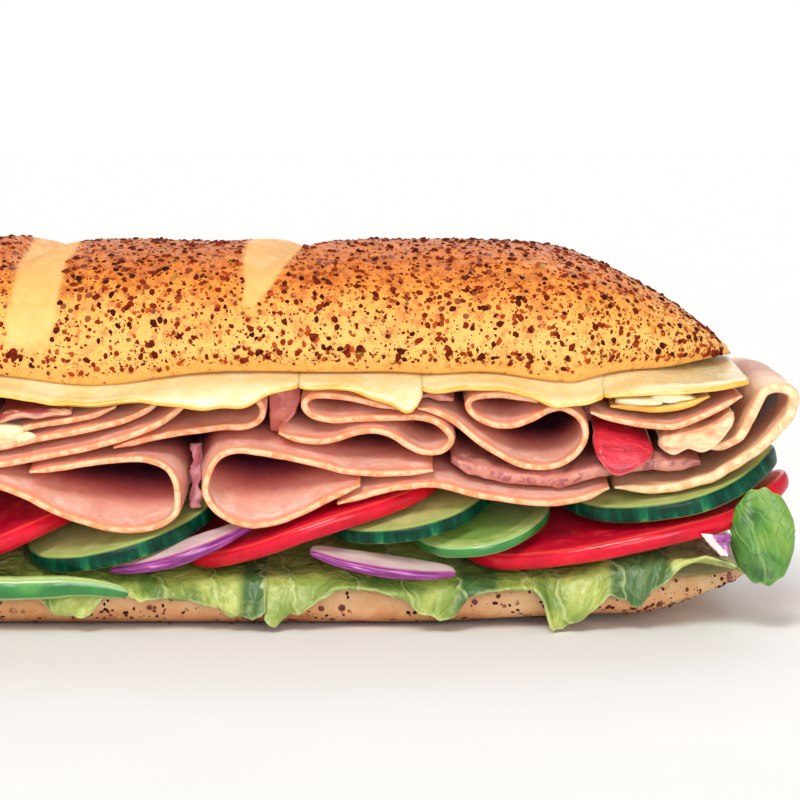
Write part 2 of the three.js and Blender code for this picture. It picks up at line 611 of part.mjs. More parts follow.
function addVegetables() {
  const tomato = (n, points, side, t = 4.6) => add("tomato_" + n, "tomato", round(points, t, side), 0.3);
  const cucumber = (n, points, side, t = 4.2) => add("cucumber_" + n, "cucumber", round(points, t, side), 0.35);
  const shingle = [[-66, 13.4], [-40, 15.8], [-20, 19.8], [-6.5, 23.4], [0.5, 24.2]];
  const under = [[-12.5, 13.4], [9.5, 18.3], [31.5, 23.6]];
  const steep = [[24, 13.2], [30, 14.2], [41.6, 18.8], [54, 23.8], [65, 26.9], [76, 28.8], [85, 29.9]];
  const mid = [[58, 20], [77.5, 23.6], [97, 26.4]];
  const wide = [
    [90.5, 13.7], [99.8, 14.4], [113.7, 17.4], [128.8, 20.6], [141.6, 23.3], [153.3, 26.3], [162.6, 30.6], [167.5, 33.4],
  ];
  const end = [[114, 26], [123, 26.5], [134.6, 28.1], [146, 30.4], [155.6, 34.2], [162.6, 38.2], [165, 39.6]];
  tomato(1, shingle, -1);
  tomato(2, steep, -1, 4.6);
  tomato(3, wide, -1, 4.6);
  tomato(4, moved(mirrored(wide), 5), -1);
  tomato(5, moved(steep, -1), 1);
  tomato(6, wide, 1);
  tomato(7, moved(mirrored(wide), 5), 1);
  tomato(8, moved(shingle, 2), 1);
  cucumber(1, under, -1, 4.2);
  cucumber(2, mid, -1, 3.7);
  cucumber(3, end, -1, 4.2);
  cucumber(4, mirrored(end), -1);
  cucumber(5, moved(under, -1), 1);
  cucumber(6, end, 1);
  cucumber(7, mirrored(end), 1);
  cucumber(8, [[-102, 20.4], [-81, 18.7], [-60, 19]], -1);
  add("pepper_1", "pepper", round([[78.4, 17.6], [95, 20], [111, 22.6]], 2.9), 0.35);
  const stick = [[-40, 11.1], [-28, 11.6], [-12, 11.9], [2, 11.9], [9, 11], [13, 10.2]];
  add("pepper_2", "pepper", slice(stick, 5.6, strip(45.2, 2.4), 0.1, 0.7), 0.3);
  const arc = [[8, 13.4], [16, 15.4], [25, 18.1], [33, 21], [42, 24.2]];
  add("onion_1", "onion", slice(arc, 3.2, strip(45, 9, 6), 0.1, 0.75), 0.3);
  const lowArc = [[55, 18.4], [62, 16.6], [70, 15.2], [79, 14.2], [88.5, 13.6]];
  add("onion_2", "onion", slice(lowArc, 2.6, strip(44.6, 9, 3), 0.1, 0.7), 0.3);
  const tip = [[23.4, 145.8, 152.4], [21.8, 147, 152.4], [20, 148.8, 152], [18.4, 150.4, 151.6]];
  add("onion_3", "onion", scrap(tip, -43.9, 1.1), 0.3);
}

function addLettuce() {
  const leaves = [
    [
      [-152, 2, 3], [-146, 5, 6], [-140, 7, 4], [-134, 4.5, 3], [-128, 6, 6.5], [-121, 8, 7.5], [-114, 2, 4],
      [-106, 6, 8], [-99, 7.5, 7], [-92, 4, 3], [-85, 6, 5.5], [-78, 8.5, 8], [-70, 1.5, 2], [-62, 6.5, 5],
      [-54, 4, 8], [-46, 7, 6], [-38, 2, 3], [-30, 6.5, 5], [-22, 5, 8], [-14.2, 1, 2],
    ],
    [
      [-13.2, 0.6, 2], [-8, 2, 5], [-4.5, 6.4, 6], [-0.5, 6.8, 7.5], [4, 5.4, 5], [7.5, 1.4, 4],
      [13.7, 2.6, 5], [24, 2.8, 7.5], [30, 4.2, 6.5], [37, 6.7, 5], [41.5, 7.8, 4], [44.2, 5, 3],
    ],
    [
      [45, 7, 4], [47, 9.6, 6], [49, 8, 8.5], [53, 6, 7], [57.5, 2.6, 5], [62, 0.6, 3.5], [70.5, 0.4, 2.5],
      [76.5, 3, 5], [80.5, 6, 7.5], [85, 7.2, 8.6], [88.6, 6.3, 6], [91.5, 2.2, 4.5], [96, 0.6, 3], [106, 0.6, 3],
    ],
    [
      [107, 0.6, 2.5], [109, 3, 4], [111, 8.8, 5], [113.4, 9.6, 7], [116.4, 8, 8, 1], [120.5, 6.6, 6.5, 2.5],
      [124, 1.6, 5, 4], [128, 3.4, 2.6, 5], [131.5, 4.4, 4.5, 5.5], [135, 0.6, 6, 5.5],
      [141, -4.6, 5, 5.6], [147, -7, 4, 5.4], [153, -5.6, 3, 4.4], [158.5, -2, 1, 2.5],
    ],
  ];
  leaves.forEach((rows, i) => add("lettuce_" + (i + 1), "lettuce", leaf(rows), 0.5));
  add("lettuce_5", "lettuce", roundLeaf(160.4, -42.8, 22.7, 7.3, 11), 0.5);
}

addBread();
addCheese();
addMeat();
addVegetables();
addLettuce();

// The origin is the middle of the sandwich's underside.
const middle = new THREE.Box3().setFromObject(group).getCenter(new THREE.Vector3());
for (const mesh of group.children) mesh.geometry.translate(-middle.x, -middle.y, 0);

export default group;
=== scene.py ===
"""The looks of a footlong submarine sandwich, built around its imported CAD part.

Each piece follows the same drawing as the CAD node that it stands for, at a finer resolution. Lengths are
millimetres in the drawing (x along the loaf, -y the front, z up) and metres once a piece is made.
"""

import math

import bpy
import numpy as np
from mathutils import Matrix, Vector


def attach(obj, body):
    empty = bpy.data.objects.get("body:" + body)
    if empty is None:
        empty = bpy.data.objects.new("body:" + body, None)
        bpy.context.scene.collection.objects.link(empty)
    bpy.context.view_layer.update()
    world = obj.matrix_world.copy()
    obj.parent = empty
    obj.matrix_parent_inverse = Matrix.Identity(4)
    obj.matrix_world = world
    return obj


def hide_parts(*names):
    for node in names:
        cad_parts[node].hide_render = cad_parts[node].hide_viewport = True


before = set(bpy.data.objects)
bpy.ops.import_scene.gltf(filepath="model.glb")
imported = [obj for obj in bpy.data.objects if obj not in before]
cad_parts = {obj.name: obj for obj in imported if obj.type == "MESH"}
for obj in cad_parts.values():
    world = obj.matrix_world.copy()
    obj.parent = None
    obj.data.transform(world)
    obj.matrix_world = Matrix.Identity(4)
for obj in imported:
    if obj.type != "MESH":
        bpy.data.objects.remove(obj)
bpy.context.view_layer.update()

# The drawing's numbers, as in the CAD part.
MIDDLE = np.array([0, -0.628, 0])  # the drawing's point over the row frame's origin
METRES = 0.001
LOAF_LENGTH, LOAF_HEIGHT = 313, 89.5
TOP_HALF_WIDTH, TOP_CUT, TOP_ROLL = 38, 58.9, 7
BOTTOM_LENGTH, BOTTOM_HALF_WIDTH, BOTTOM_CUT, BOTTOM_WIDEST = 320, 36.5, 9.5, 6.5
END_ROUNDING = 58
SLASHES, SLASH_SLANT, SLASH_WIDTH, SLASH_REACH, SLASH_DEPTH = (-65, -6.5, 52), 0.33, 7, 36, 3.2
FRONT, CROWN, CROWN_END = 42, 10, 165
HAM, CHEESE, LEAF = 1.7, 1.6, 0.9
EDGE_BEND, LIP_START, LIP_FULL, CHEESE_Z, LEAF_Z = 38.6, 28, 37.5, 57.4, 10.45
SAGS = ((2, 19, 4.1), (84, 8, 1.2), (114, 12, 3.2))


# ---- Numbers ----


def lerp(a, b, t):
    return a + (b - a) * t


def clamp01(t):
    return np.clip(t, 0, 1)


def smooth(a, b, x):
    t = clamp01((x - a) / (b - a))
    return t * t * (3 - 2 * t)


def hump(u):
    return np.sin(np.pi * clamp01(u))


def power(v, e):
    return np.sign(v) * np.abs(v) ** e


def unit(v):
    return v / np.maximum(np.linalg.norm(v, axis=-1, keepdims=True), 1e-9)


def points(*parts):
    return np.stack(np.broadcast_arrays(*parts), axis=-1)


def noise(p, size, seed=0):
    """Smooth noise from -1 to 1 at points p, with lumps about size mm wide."""
    q = np.asarray(p, float) / size + 17.3 * seed
    i = np.floor(q).astype(np.int64)
    f = q - i
    f = f * f * (3 - 2 * f)
    total = 0
    for corner in range(8):
        step = np.array([corner >> 2 & 1, corner >> 1 & 1, corner & 1])
        c = i + step
        h = (c[..., 0] * 73856093) ^ (c[..., 1] * 19349663) ^ (c[..., 2] * 83492791) ^ (seed * 7919)
        h = ((h ^ (h >> 15)) * 224682251) & 0xFFFFFFFF
        h = ((h ^ (h >> 13)) * 326648991) & 0xFFFFFFFF
        weight = np.prod(np.where(step, f, 1 - f), axis=-1)
        total = total + (((h >> 8) & 0xFFFF) / 32767.5 - 1) * weight
    return total


def line_noise(x, size, seed=0):
    return noise(points(x, 0.37, 0.71), size, seed)


def crown(x, y):
    """How far the filling is lifted over the middle of the loaf."""
    return CROWN * (1 - 0.85 * smooth(105, CROWN_END, np.abs(x))) * (1 - np.abs(y) / FRONT)


def sag_at(x, y):
    """How far the top half's lower edge sags, and the cheese under it."""
    depth = sum(most * np.exp(-(((x - at) / spread) ** 2)) for at, spread, most in SAGS)
    return depth * clamp01((np.abs(y) - LIP_START) / (LIP_FULL - LIP_START))


def wander(p):
    """One soft unevenness that all pieces share, so that none of them meets another for it."""
    size = np.array([0.7, 0.5, 0.55]) * smooth(0, 9, p[..., 2:3])
    return p + size * points(noise(p, 31, 3), noise(p, 27, 4), noise(p, 24, 5))


def curve(knots, step=0.9):
    """The smooth line through given points: share of its length, x and z at even steps."""
    p = np.array(knots, float)
    ends = np.vstack([2 * p[0] - p[1], p, 2 * p[-1] - p[-2]])
    fine = []
    for a, b, c, d in zip(ends, ends[1:], ends[2:], ends[3:]):
        t0, t1, t2 = (np.linalg.norm(v) ** 0.5 for v in (b - a, c - b, d - c))
        m1 = ((b - a) / t0 - (c - a) / (t0 + t1) + (c - b) / t1) * t1
        m2 = ((c - b) / t1 - (d - b) / (t1 + t2) + (d - c) / t2) * t1
        s = np.linspace(0, 1, 40, endpoint=False)[:, None]
        fine.append(b + m1 * s + (-3 * b + 3 * c - 2 * m1 - m2) * s**2 + (2 * b - 2 * c + m1 + m2) * s**3)
    fine = np.vstack(fine + [p[-1:]])
    run = np.concatenate([[0], np.cumsum(np.linalg.norm(np.diff(fine, axis=0), axis=1))])
    at = np.linspace(0, run[-1], max(10, int(run[-1] / step) + 1))
    return at / run[-1], np.interp(at, run, fine[:, 0]), np.interp(at, run, fine[:, 1])


def spline(at, x, y):
    """A smooth line through (x, y), met at the places at."""
    m = np.gradient(y, x)
    k = np.clip(np.searchsorted(x, at) - 1, 0, len(x) - 2)
    h = x[k + 1] - x[k]
    t = (at - x[k]) / h
    a, b = t * t * (3 - 2 * t), t * (1 - t)
    return lerp(y[k], y[k + 1], a) + h * b * ((1 - t) * m[k] - t * m[k + 1])


# ---- Meshes ----

THIN_EDGE, THIN_RIM = 0.4, 0.45  # how far in a sheet's edge and a disc's rim are thinner


def make(name, body, paint, nodes=()):
    """A piece of the sandwich from (points, quads, triangles, values at the points)."""
    p, quads, tris, values = body
    p = (wander(p) - MIDDLE) * METRES
    p[:, 2] = np.maximum(p[:, 2], 0)
    quads, tris = np.asarray(quads, int).reshape(-1, 4), np.asarray(tris, int).reshape(-1, 3)
    mesh = bpy.data.meshes.new(name)
    mesh.vertices.add(len(p))
    mesh.vertices.foreach_set("co", p.astype(np.float32).ravel())
    corners = np.concatenate([quads.ravel(), tris.ravel()])
    totals = np.concatenate([np.full(len(quads), 4), np.full(len(tris), 3)])
    mesh.loops.add(len(corners))
    mesh.loops.foreach_set("vertex_index", corners.astype(np.int32))
    mesh.polygons.add(len(totals))
    mesh.polygons.foreach_set("loop_start", (np.cumsum(totals) - totals).astype(np.int32))
    mesh.update(calc_edges=True)
    mesh.validate()
    mesh.shade_smooth()
    for key, value in values.items():
        attribute = mesh.attributes.new(key, "FLOAT", "POINT")
        attribute.data.foreach_set("value", np.asarray(value, np.float32).ravel())
    piece = bpy.data.objects.new(name + ("_look" if nodes else ""), mesh)
    bpy.context.scene.collection.objects.link(piece)
    mesh.materials.append(paint)
    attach(piece, "root")
    if nodes:
        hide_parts(*nodes)


def facing_out(p, quads, tris):
    """The same faces, turned over if they face in."""
    faces = np.vstack([quads[:, [0, 1, 2]], quads[:, [0, 2, 3]], tris])
    a, b, c = (p[faces[:, i]] for i in range(3))
    inside_out = np.einsum("ij,ij->i", a, np.cross(b, c)).sum() < 0
    return (quads[:, ::-1], tris[:, ::-1]) if inside_out else (quads, tris)


def tube_quads(rows, columns):
    i, j = np.meshgrid(np.arange(rows - 1), np.arange(columns), indexing="ij")
    k = (j + 1) % columns
    quads = [i * columns + j, i * columns + k, (i + 1) * columns + k, (i + 1) * columns + j]
    return np.stack(quads, axis=-1).reshape(-1, 4)


def fans(hub, first, last):
    """Triangles that close the rings of points first and last round the points hub and hub + 1."""
    return np.vstack([
        np.stack([0 * first + hub, first, np.roll(first, -1)], axis=-1),
        np.stack([0 * last + hub + 1, np.roll(last, -1), last], axis=-1),
    ])


def capped(ring):
    """A tube of points, closed at both ends round a hub point each."""
    rows, count = ring.shape[:2]
    p = np.vstack([ring.reshape(-1, 3), ring[0].mean(0), ring[-1].mean(0)])
    n = np.arange(count)
    tris = fans(rows * count, n, n + (rows - 1) * count)
    return p, *facing_out(p, tube_quads(rows, count)[:, ::-1], tris)


def sheet(grid, thick, bulge=0.16, edge_share=0.86, open_ends=True):
    """A closed sheet round a grid of points, with rounded long edges. Its values: edge is the distance to the
    nearest cut edge, deep the distance from the front one, side 1 above and -1 below, along the place on the
    slice's own length."""
    rows, columns = grid.shape[:2]
    widths = np.linalg.norm(np.diff(grid, axis=1), axis=2)
    across = np.concatenate([np.zeros((rows, 1)), np.cumsum(widths, axis=1)], axis=1)
    middle = grid[:, columns // 2]
    along = np.concatenate([[0], np.cumsum(np.linalg.norm(np.diff(middle, axis=0), axis=1))])[:, None]
    edge = np.minimum(across, across[:, -1:] - across)
    if open_ends:
        edge = np.minimum(edge, np.minimum(along, along[-1] - along))
    share = 1 - (1 - edge_share) * np.exp(-((edge / THIN_EDGE) ** 2))
    normal = unit(np.cross(np.gradient(grid, axis=1), np.gradient(grid, axis=0)))
    half = normal * (np.asarray(thick) * share / 2)[..., None]
    lean = np.array([0.8, 0, -0.8])
    swell = bulge * np.sqrt(1 - lean**2)
    rims = []
    for here, inner in ((-1, -2), (0, 1)):
        out = unit(grid[:, here] - grid[:, inner])
        size = 2 * np.linalg.norm(half[:, here], axis=1)[:, None, None]
        bend = half[:, here, None] * lean[None, :, None]
        rims.append(grid[:, here, None] + bend + out[:, None] * (swell[:, None] * size))
    ring = np.concatenate([grid + half, rims[0], (grid - half)[:, ::-1], rims[1][:, ::-1]], axis=1)
    count = ring.shape[1]
    p = ring.reshape(-1, 3)
    quads = tube_quads(rows, count)
    rim_back = [columns + i for i in range(-1, 4)]
    rim_front = [2 * columns + i for i in range(2, 6)] + [0]
    j = np.arange(columns - 1)
    cap = np.stack([j, j + 1, 2 * columns + 1 - j, 2 * columns + 2 - j], axis=-1)
    last = (rows - 1) * count
    quads = np.vstack([quads, cap[:, ::-1], cap + last])
    tris = []
    for fan in (rim_back, rim_front):
        for a, b in zip(fan[1:], fan[2:]):
            tris += [[fan[0], b, a], [fan[0] + last, a + last, b + last]]
    quads, tris = facing_out(p, quads, np.array(tris))
    none = np.zeros((rows, 3))

    def round_ring(upper, rim_a, lower, rim_b):
        return np.concatenate([upper, rim_a, lower[:, ::-1], rim_b], axis=1)

    deep = round_ring(across, none + across[:, -1:], across, none)
    values = {
        "edge": round_ring(edge, none, edge, none),
        "deep": deep,
        "side": round_ring(1 + 0 * across, none + lean, -1 + 0 * across, none - lean),
        "along": along + 0 * deep,
    }
    return p, quads, tris, values


def join(bodies):
    """Several bodies as one."""
    starts = np.cumsum([0] + [len(b[0]) for b in bodies])
    p = np.vstack([b[0] for b in bodies])
    quads = np.vstack([np.asarray(b[1], int).reshape(-1, 4) + s for b, s in zip(bodies, starts)])
    tris = np.vstack([np.asarray(b[2], int).reshape(-1, 3) + s for b, s in zip(bodies, starts)])
    values = {k: np.concatenate([np.ravel(b[3][k]) for b in bodies]) for k in bodies[0][3]}
    return p, quads, tris, values


# ---- Slices, sheets and strips ----

# The points across half a slice, as shares of its reach, from the cut edge in.
ACROSS = 1 - np.array([0, 0.12, 0.35, 0.7, 1.2, 2, 3, 4.5, 6.5, 9, 12, 16, 21, 27, 33])[None, :] / 38


def folded(
    knots, thickness, front, back, slant=0, closing=None, bulge=None,
    taper=0, ragged=0.35, seed=1, step=0.95, rough=0.12,
):
    """A folded slice of meat that runs through the loaf, with its cut edges at the front and the back."""
    u, x, z = curve(knots, step)
    length = len(u) * step
    u, x, z = u[:, None], x[:, None], z[:, None]

    def wavy(k):
        return ragged * (line_noise(u * length, 5, seed + k) + 0.5 * line_noise(u * length, 1.9, seed + k + 1))

    reach_front = front + slant * (2 * u - 1) - 0.8 * np.sin(7 * u) + wavy(1)
    reach_back = back - 0.8 * np.sin(5 * u + 1) + wavy(4)
    y = np.concatenate([-(reach_front * ACROSS), 0 * u, (reach_back * ACROSS)[:, ::-1]], axis=1)
    inwards = 1 - np.abs(y) / np.where(y < 0, reach_front, reach_back)
    drop = closing(x, z) * inwards if closing else 0
    shift = bulge(x) * inwards if bulge else 0
    grid = points(x + shift, y, z + crown(x, y) - drop)
    uneven = noise(grid, 7, seed) + 0.5 * noise(grid, 3, seed + 1)
    normal = unit(np.cross(np.gradient(grid, axis=1), np.gradient(grid, axis=0)))
    grid = grid + normal * (rough * uneven)[..., None]
    ends = smooth(0, 5, np.minimum(u, 1 - u) * length)
    thick = thickness * (1 - taper * (1 - np.sqrt(hump(u)))) * (0.4 + 0.6 * ends)
    thick = thick * (1 + 0.06 * line_noise(u * length, 4, seed + 9)) + 0 * y
    return sheet(grid, thick)


def close_towards(start, end):
    """A hollow fold closes up over the middle of the loaf, towards a line of the drawing."""
    (x0, z0), (x1, z1) = start, end

    def closing(x, z):
        away = z - lerp(z0, z1, (x - x0) / (x1 - x0))
        return np.sign(away) * np.maximum(0, 0.88 * np.abs(away) - 1.25)

    return closing


# Shares of a drape's quarter turn over the edge, of the flat lip before it, and of how far that lip falls.
HANG = np.array([1, 0.985, 0.95, 0.89, 0.8, 0.66, 0.5, 0.3, 0.12])[None, :]
TURN = np.array([1, 0.72, 0.44, 0.2, 0])
EASE = np.array([1, 0.6, 0.3, 0.1, 0])[None, :]


def drape(
    rows, thickness, out=5.2, sag=sag_at, seed=1, step=0.85,
    wave=0.25, edge_share=0.7, corner=4, reach_on=0, end_share=0.6,
):
    """Cheese and bacon, from rows of x, z, front drop and back drop."""
    rows = np.array(rows, float)
    rows[0, 0] -= reach_on
    rows[-1, 0] += reach_on
    at = np.linspace(rows[0, 0], rows[-1, 0], int((rows[-1, 0] - rows[0, 0]) / step) + 2)
    z, front, back = (spline(at, rows[:, 0], rows[:, k])[:, None] for k in (1, 2, 3))
    x = at[:, None]
    front = np.maximum(0.2, front + wave * line_noise(x, 5, seed))
    back = np.maximum(0.2, back + wave * line_noise(x, 5, seed + 1))
    corner = np.sqrt(1 - (1 - clamp01(np.minimum(x - x[0], x[-1] - x) / corner)) ** 2)
    parts = []
    for sign, drop in ((-1, front), (1, back)):
        reach = out * (0.45 + 0.55 * clamp01(drop / 4)) * (1 + 0.2 * line_noise(x, 9, seed + 6 + sign))
        reach = EDGE_BEND + 0.3 + (reach - 0.3) * corner
        bend = np.pi / 2 * HANG
        hanging = EDGE_BEND + (reach - EDGE_BEND) * np.sin(bend)
        y = np.concatenate([hanging, x * 0 + lerp(LIP_START, EDGE_BEND, TURN)[None, :]], axis=1)
        fall = np.concatenate([drop * (0.1 + 0.9 * (1 - np.cos(bend))), 0.1 * drop * EASE], axis=1)
        parts.append((sign * y, fall))
    inside = np.array([-15, 0, 15])[None, :] + 0 * x
    y = np.concatenate([parts[0][0], inside, parts[1][0][:, ::-1]], axis=1)
    fall = np.concatenate([parts[0][1], 0 * inside, parts[1][1][:, ::-1]], axis=1)
    grid = points(x, y, z + crown(x, y) - sag(x, y) - fall)
    ends = smooth(0, 1.6, np.minimum(x - x[0], x[-1] - x))
    thick = thickness * lerp(end_share, 1, ends) * (1 + 0.08 * noise(grid, 6, seed + 3))
    return sheet(grid, thick, edge_share=edge_share, open_ends=not reach_on)


# How far the two rows of vegetable slices reach to either side of the middle, and how uneven the slices are.
ROW_OUTER, ROW_INNER, UNEVEN = 44, 1.6, 0.12


def disc(knots, thickness, side=-1, seed=1, bulge=0.22):
    """A round or oval vegetable slice in the front or the back row. Its value turn is the place round its rim."""
    _, line_x, line_z = curve(knots, 0.8)
    x0, x1 = knots[0][0], knots[-1][0]
    a, b = (x1 - x0) / 2, (ROW_OUTER - ROW_INNER) / 2
    count = 108
    theta = np.linspace(0, 2 * np.pi, count, endpoint=False)[:, None]
    wobble = 1 + UNEVEN * 0.1 * line_noise(10 * np.cos(theta) + 31 * np.sin(theta), 7, seed)

    def at(r):
        x = (x0 + x1) / 2 + a * r * wobble * np.cos(theta)
        y = side * ((ROW_OUTER + ROW_INNER) / 2 + b * r * wobble * np.sin(theta))
        return x, y

    def middle(x, y):
        return np.interp(x, line_x, line_z) + crown(x, y)

    def up(x, y):
        slope = [(middle(x + e, y + f) - middle(x - e, y - f)) / 1.2 for e, f in ((0.6, 0), (0, 0.6))]
        return unit(points(-slope[0], -slope[1], 1 + 0 * x))

    upper = np.array([0.02, 0.4, 0.7, 0.85, 0.93, 0.97, 0.99, 1])[None, :]
    x, y = at(upper)
    face, normal = points(x, y, middle(x, y)), up(x, y)
    soft = noise(face, 6, seed + 2) * UNEVEN
    depth = (1 - upper) * min(a, b)
    half = thickness / 2 * (1 - 0.14 * np.exp(-((depth / THIN_RIM) ** 2))) + soft
    lean = np.array([0.82, 0.45, 0, -0.45, -0.82])
    out = unit(points(np.cos(theta) / a, side * np.sin(theta) / b, 0 * theta))
    flat = out - normal[:, -1:] * np.sum(out * normal[:, -1:], axis=-1, keepdims=True)
    swell = bulge * thickness * np.sqrt(1 - lean**2)
    rim = face[:, -1:] + normal[:, -1:] * (half[:, -1:] * lean)[..., None] + unit(flat) * swell[None, :, None]
    top, low = face + normal * half[..., None], face - normal * half[..., None]
    ring = np.concatenate([top, rim, low[:, ::-1]], axis=1)
    columns = ring.shape[1]
    p = ring.reshape(-1, 3)
    i, j = np.meshgrid(np.arange(count), np.arange(columns - 1), indexing="ij")
    k = (i + 1) % count
    quads = [i * columns + j, k * columns + j, k * columns + j + 1, i * columns + j + 1]
    quads = np.stack(quads, axis=-1).reshape(-1, 4)
    hubs = len(p)
    p = np.vstack([p, ring[:, 0].mean(0), ring[:, -1].mean(0)])
    n = np.arange(count) * columns
    quads, tris = facing_out(p, quads, fans(hubs, n, n + columns - 1)[:, [0, 2, 1]])
    depth = depth + 0 * x

    def ring_of(upper, rim, lower):
        ring = np.concatenate([upper, rim, lower[:, ::-1]], axis=1)
        return np.append(ring.ravel(), [upper.max(), lower.max()])

    none = np.zeros((count, 5))
    radius = (a + b) / 2
    turn = np.abs(((theta * side / np.pi + 1.5) % 2) - 1) * np.pi * radius
    values = {
        "edge": ring_of(depth, none, depth),
        "side": ring_of(1 + 0 * depth, none + lean, -1 - 0 * depth),
        "turn": ring_of(turn + 0 * depth, turn + none, turn + 0 * depth),
    }
    return p, quads, tris, values


def strip(knots, thickness, outer, width, bow=0, taper=0, seed=1):
    """An arc of onion or a stick of pepper, seen from its outer side."""
    u, x, z = (v[:, None] for v in curve(knots, 0.5))
    full = np.sqrt(hump(u))
    start = -(outer + bow * (hump(u) - 1))
    wide = width * (0.25 + 0.75 * full)
    share = np.array([0, 0.012, 0.04, 0.1, 0.2, 0.34, 0.5, 0.66, 0.8, 0.9, 0.96, 0.988, 1])[None, :]
    y = start + wide * share
    z = z + 0.12 * line_noise(x, 3, seed)
    grid = points(x, y, z + crown(x, y))
    thick = thickness * (1 - taper * (1 - full)) * (1 + 0.06 * line_noise(x, 4, seed + 2)) + 0 * y
    ends = smooth(0, 1.2, np.minimum(u, 1 - u) * (len(u) * 0.5))
    return sheet(grid, thick * (0.6 + 0.4 * ends), bulge=0.2)


# Stretches of the loaf, in x, where the lettuce is dark.
DARK_LEAVES = ((39, 44.4), (89.5, 98), (124.5, 139))


def leaf(rows, seed=1):
    """Lettuce, from rows of x, front hang, back hang and rise."""
    rows = np.array([(*row, 0)[:4] for row in rows], float)
    rows[[0, -1], 0] += (-0.5, 0.5)
    x = np.linspace(rows[0, 0], rows[-1, 0], int((rows[-1, 0] - rows[0, 0]) / 0.6) + 2)[:, None]
    wave = np.sin(0.47 * x)
    rise = np.interp(x[:, 0], rows[:, 0], rows[:, 3])[:, None]
    sides = []
    for sign, k in ((-1, 1), (1, 2)):
        hang = np.interp(x[:, 0], rows[:, 0], rows[:, k])[:, None]
        teeth = 0.8 * line_noise(x, 1.7, seed + k) + 1.1 * line_noise(x, 4.2, seed + k + 5)
        hang = np.minimum(hang + teeth * clamp01((hang + rise) / 5), 10)
        t = np.array([1, 0.97, 0.9, 0.8, 0.68, 0.55, 0.42, 0.28, 0.14, 0])[None, :]
        mid, tip = 2.2 - 0.6 * wave, 2.9 + 0.9 * wave
        out = mid * (t * (1 - t) / 0.2475) + tip * (t * (t - 0.45) / 0.55)
        ruffle = 1.1 * t * np.sin(0.9 * x + 2.2 * t + seed) + 0.6 * line_noise(x + 3 * t, 3.2, seed + 3) * t
        y = EDGE_BEND + out + np.maximum(ruffle * clamp01((hang + rise) / 6), -0.8 * t)
        sides.append((sign * y, LEAF_Z + rise * (1 - t**1.4) - hang * t))
    inside = np.linspace(-35, 35, 13)[None, :] + 0 * x
    y = np.concatenate([sides[0][0], inside, sides[1][0][:, ::-1]], axis=1)
    z = np.concatenate([sides[0][1], LEAF_Z + rise + 0 * inside, sides[1][1][:, ::-1]], axis=1)
    grid = points(x, y, z + crown(x, y))
    tip = smooth(142, 154, np.abs(x)) * np.sign(x)
    grid[..., 0] += tip * (1.2 * line_noise(y, 4, seed + 20) + 1.3 * line_noise(y, 11, seed + 21))
    grid[..., 2] += np.abs(tip) * (0.8 + 0.8 * line_noise(y + 0.5 * x, 9, seed + 22))
    p, quads, tris, values = sheet(grid, LEAF + 0 * y, bulge=0.3, edge_share=0.6)
    x = p[:, 0]
    values["dark"] = sum(smooth(a - 1.5, a + 1, x) * (1 - smooth(b - 1, b + 1.5, x)) for a, b in DARK_LEAVES)
    return p, quads, tris, values


def round_leaf(x, y, z, half_width, half_height):
    """The round leaf that leans out at the right end, cupped towards the front."""
    s = -np.cos(np.pi * (0.04 + 0.92 * np.linspace(0, 1, 64)))[:, None]
    reach = np.sqrt(1 - s * s)
    t = np.concatenate([[-1, -0.99, -0.965], np.linspace(-0.92, 0.92, 25), [0.965, 0.99, 1]])[None, :]
    cup = 2.4 * (s * s + 0.5 * t * t) + 0.7 * np.sin(3 * s + 2 * t)
    pucker = 0.3 * np.sin(5 * s + 3 * np.abs(t)) * (1 - s * s)
    high = t * reach * half_height * (1 + 0.03 * np.sin(13 * s))
    grid = points(x + s * half_width, y + cup + 0.22 * high + pucker * 0.6, z + high)
    return sheet(grid, LEAF + 0 * grid[..., 0], bulge=0.3, edge_share=0.6)


def scrap(rows, y, thickness, ragged=0.25, seed=1):
    """A scrap that hangs between the layers, from rows of z, left x and right x."""
    z, left, right = (np.array(c, float)[:, None] for c in zip(*rows))
    i = np.linspace(0, len(rows) - 1, 34)[:, None]
    known = np.arange(len(rows))
    z, left, right = (np.interp(i[:, 0], known, v[:, 0])[:, None] for v in (z, left, right))
    t = np.array([0, 0.04, 0.12, 0.25, 0.4, 0.6, 0.75, 0.88, 0.96, 1])[None, :]

    def rag(k):
        return ragged * (line_noise(6 * i, 3, seed + k) + 0.6 * line_noise(6 * i, 1.1, seed + k + 1))

    x = lerp(left + rag(0), right + rag(5), t)
    grid = points(x, y - 0.5 * np.sin(2 * i + 3 * t), z + 0 * x)
    return sheet(grid, thickness + 0 * x, bulge=0.3, edge_share=0.6)


# ---- Bread ----


def slash_relief(x, y):
    """The baker's cuts in the top crust and the ear beside each."""
    relief = 0
    for at in SLASHES:
        across = (x - at - SLASH_SLANT * y) / SLASH_WIDTH
        fade = np.maximum(0, 1 - (y / SLASH_REACH) ** 2)
        relief = relief - SLASH_DEPTH * fade * np.exp(-((across / 0.6) ** 2))
        relief = relief + 0.7 * fade * np.exp(-(((across + 1.3) / 0.6) ** 2))
    return relief


# The smooth band of each cut: its place beside the cut, lean, half width, narrowing, and the height it ends at.
BANDS = ((-1, 3.1, 6, 1, 66), (-1, 3.1, 6, 1, 66), (-6.1, 8.1, 6.7, 8.4, 75.5))


def slash_mask(x, y, z):
    """1 on the smooth pale band of each cut, where nothing was sprinkled."""
    band = 0
    down = clamp01((88 - z) / 21)
    for at, (start, lean, wide, narrow, end) in zip(SLASHES, BANDS):
        centre = at + start - lean * down * np.sign(-y) + 0.7 * line_noise(z, 6, 6)
        half = wide - narrow * down + 0.6 * line_noise(z, 4, 5)
        reach = smooth(end - 1.5, end + 1.5, z + 1.2 * line_noise(x, 3, 7))
        band = np.maximum(band, reach * (1 - smooth(half - 0.7, half + 0.7, np.abs(x - centre))))
    return band


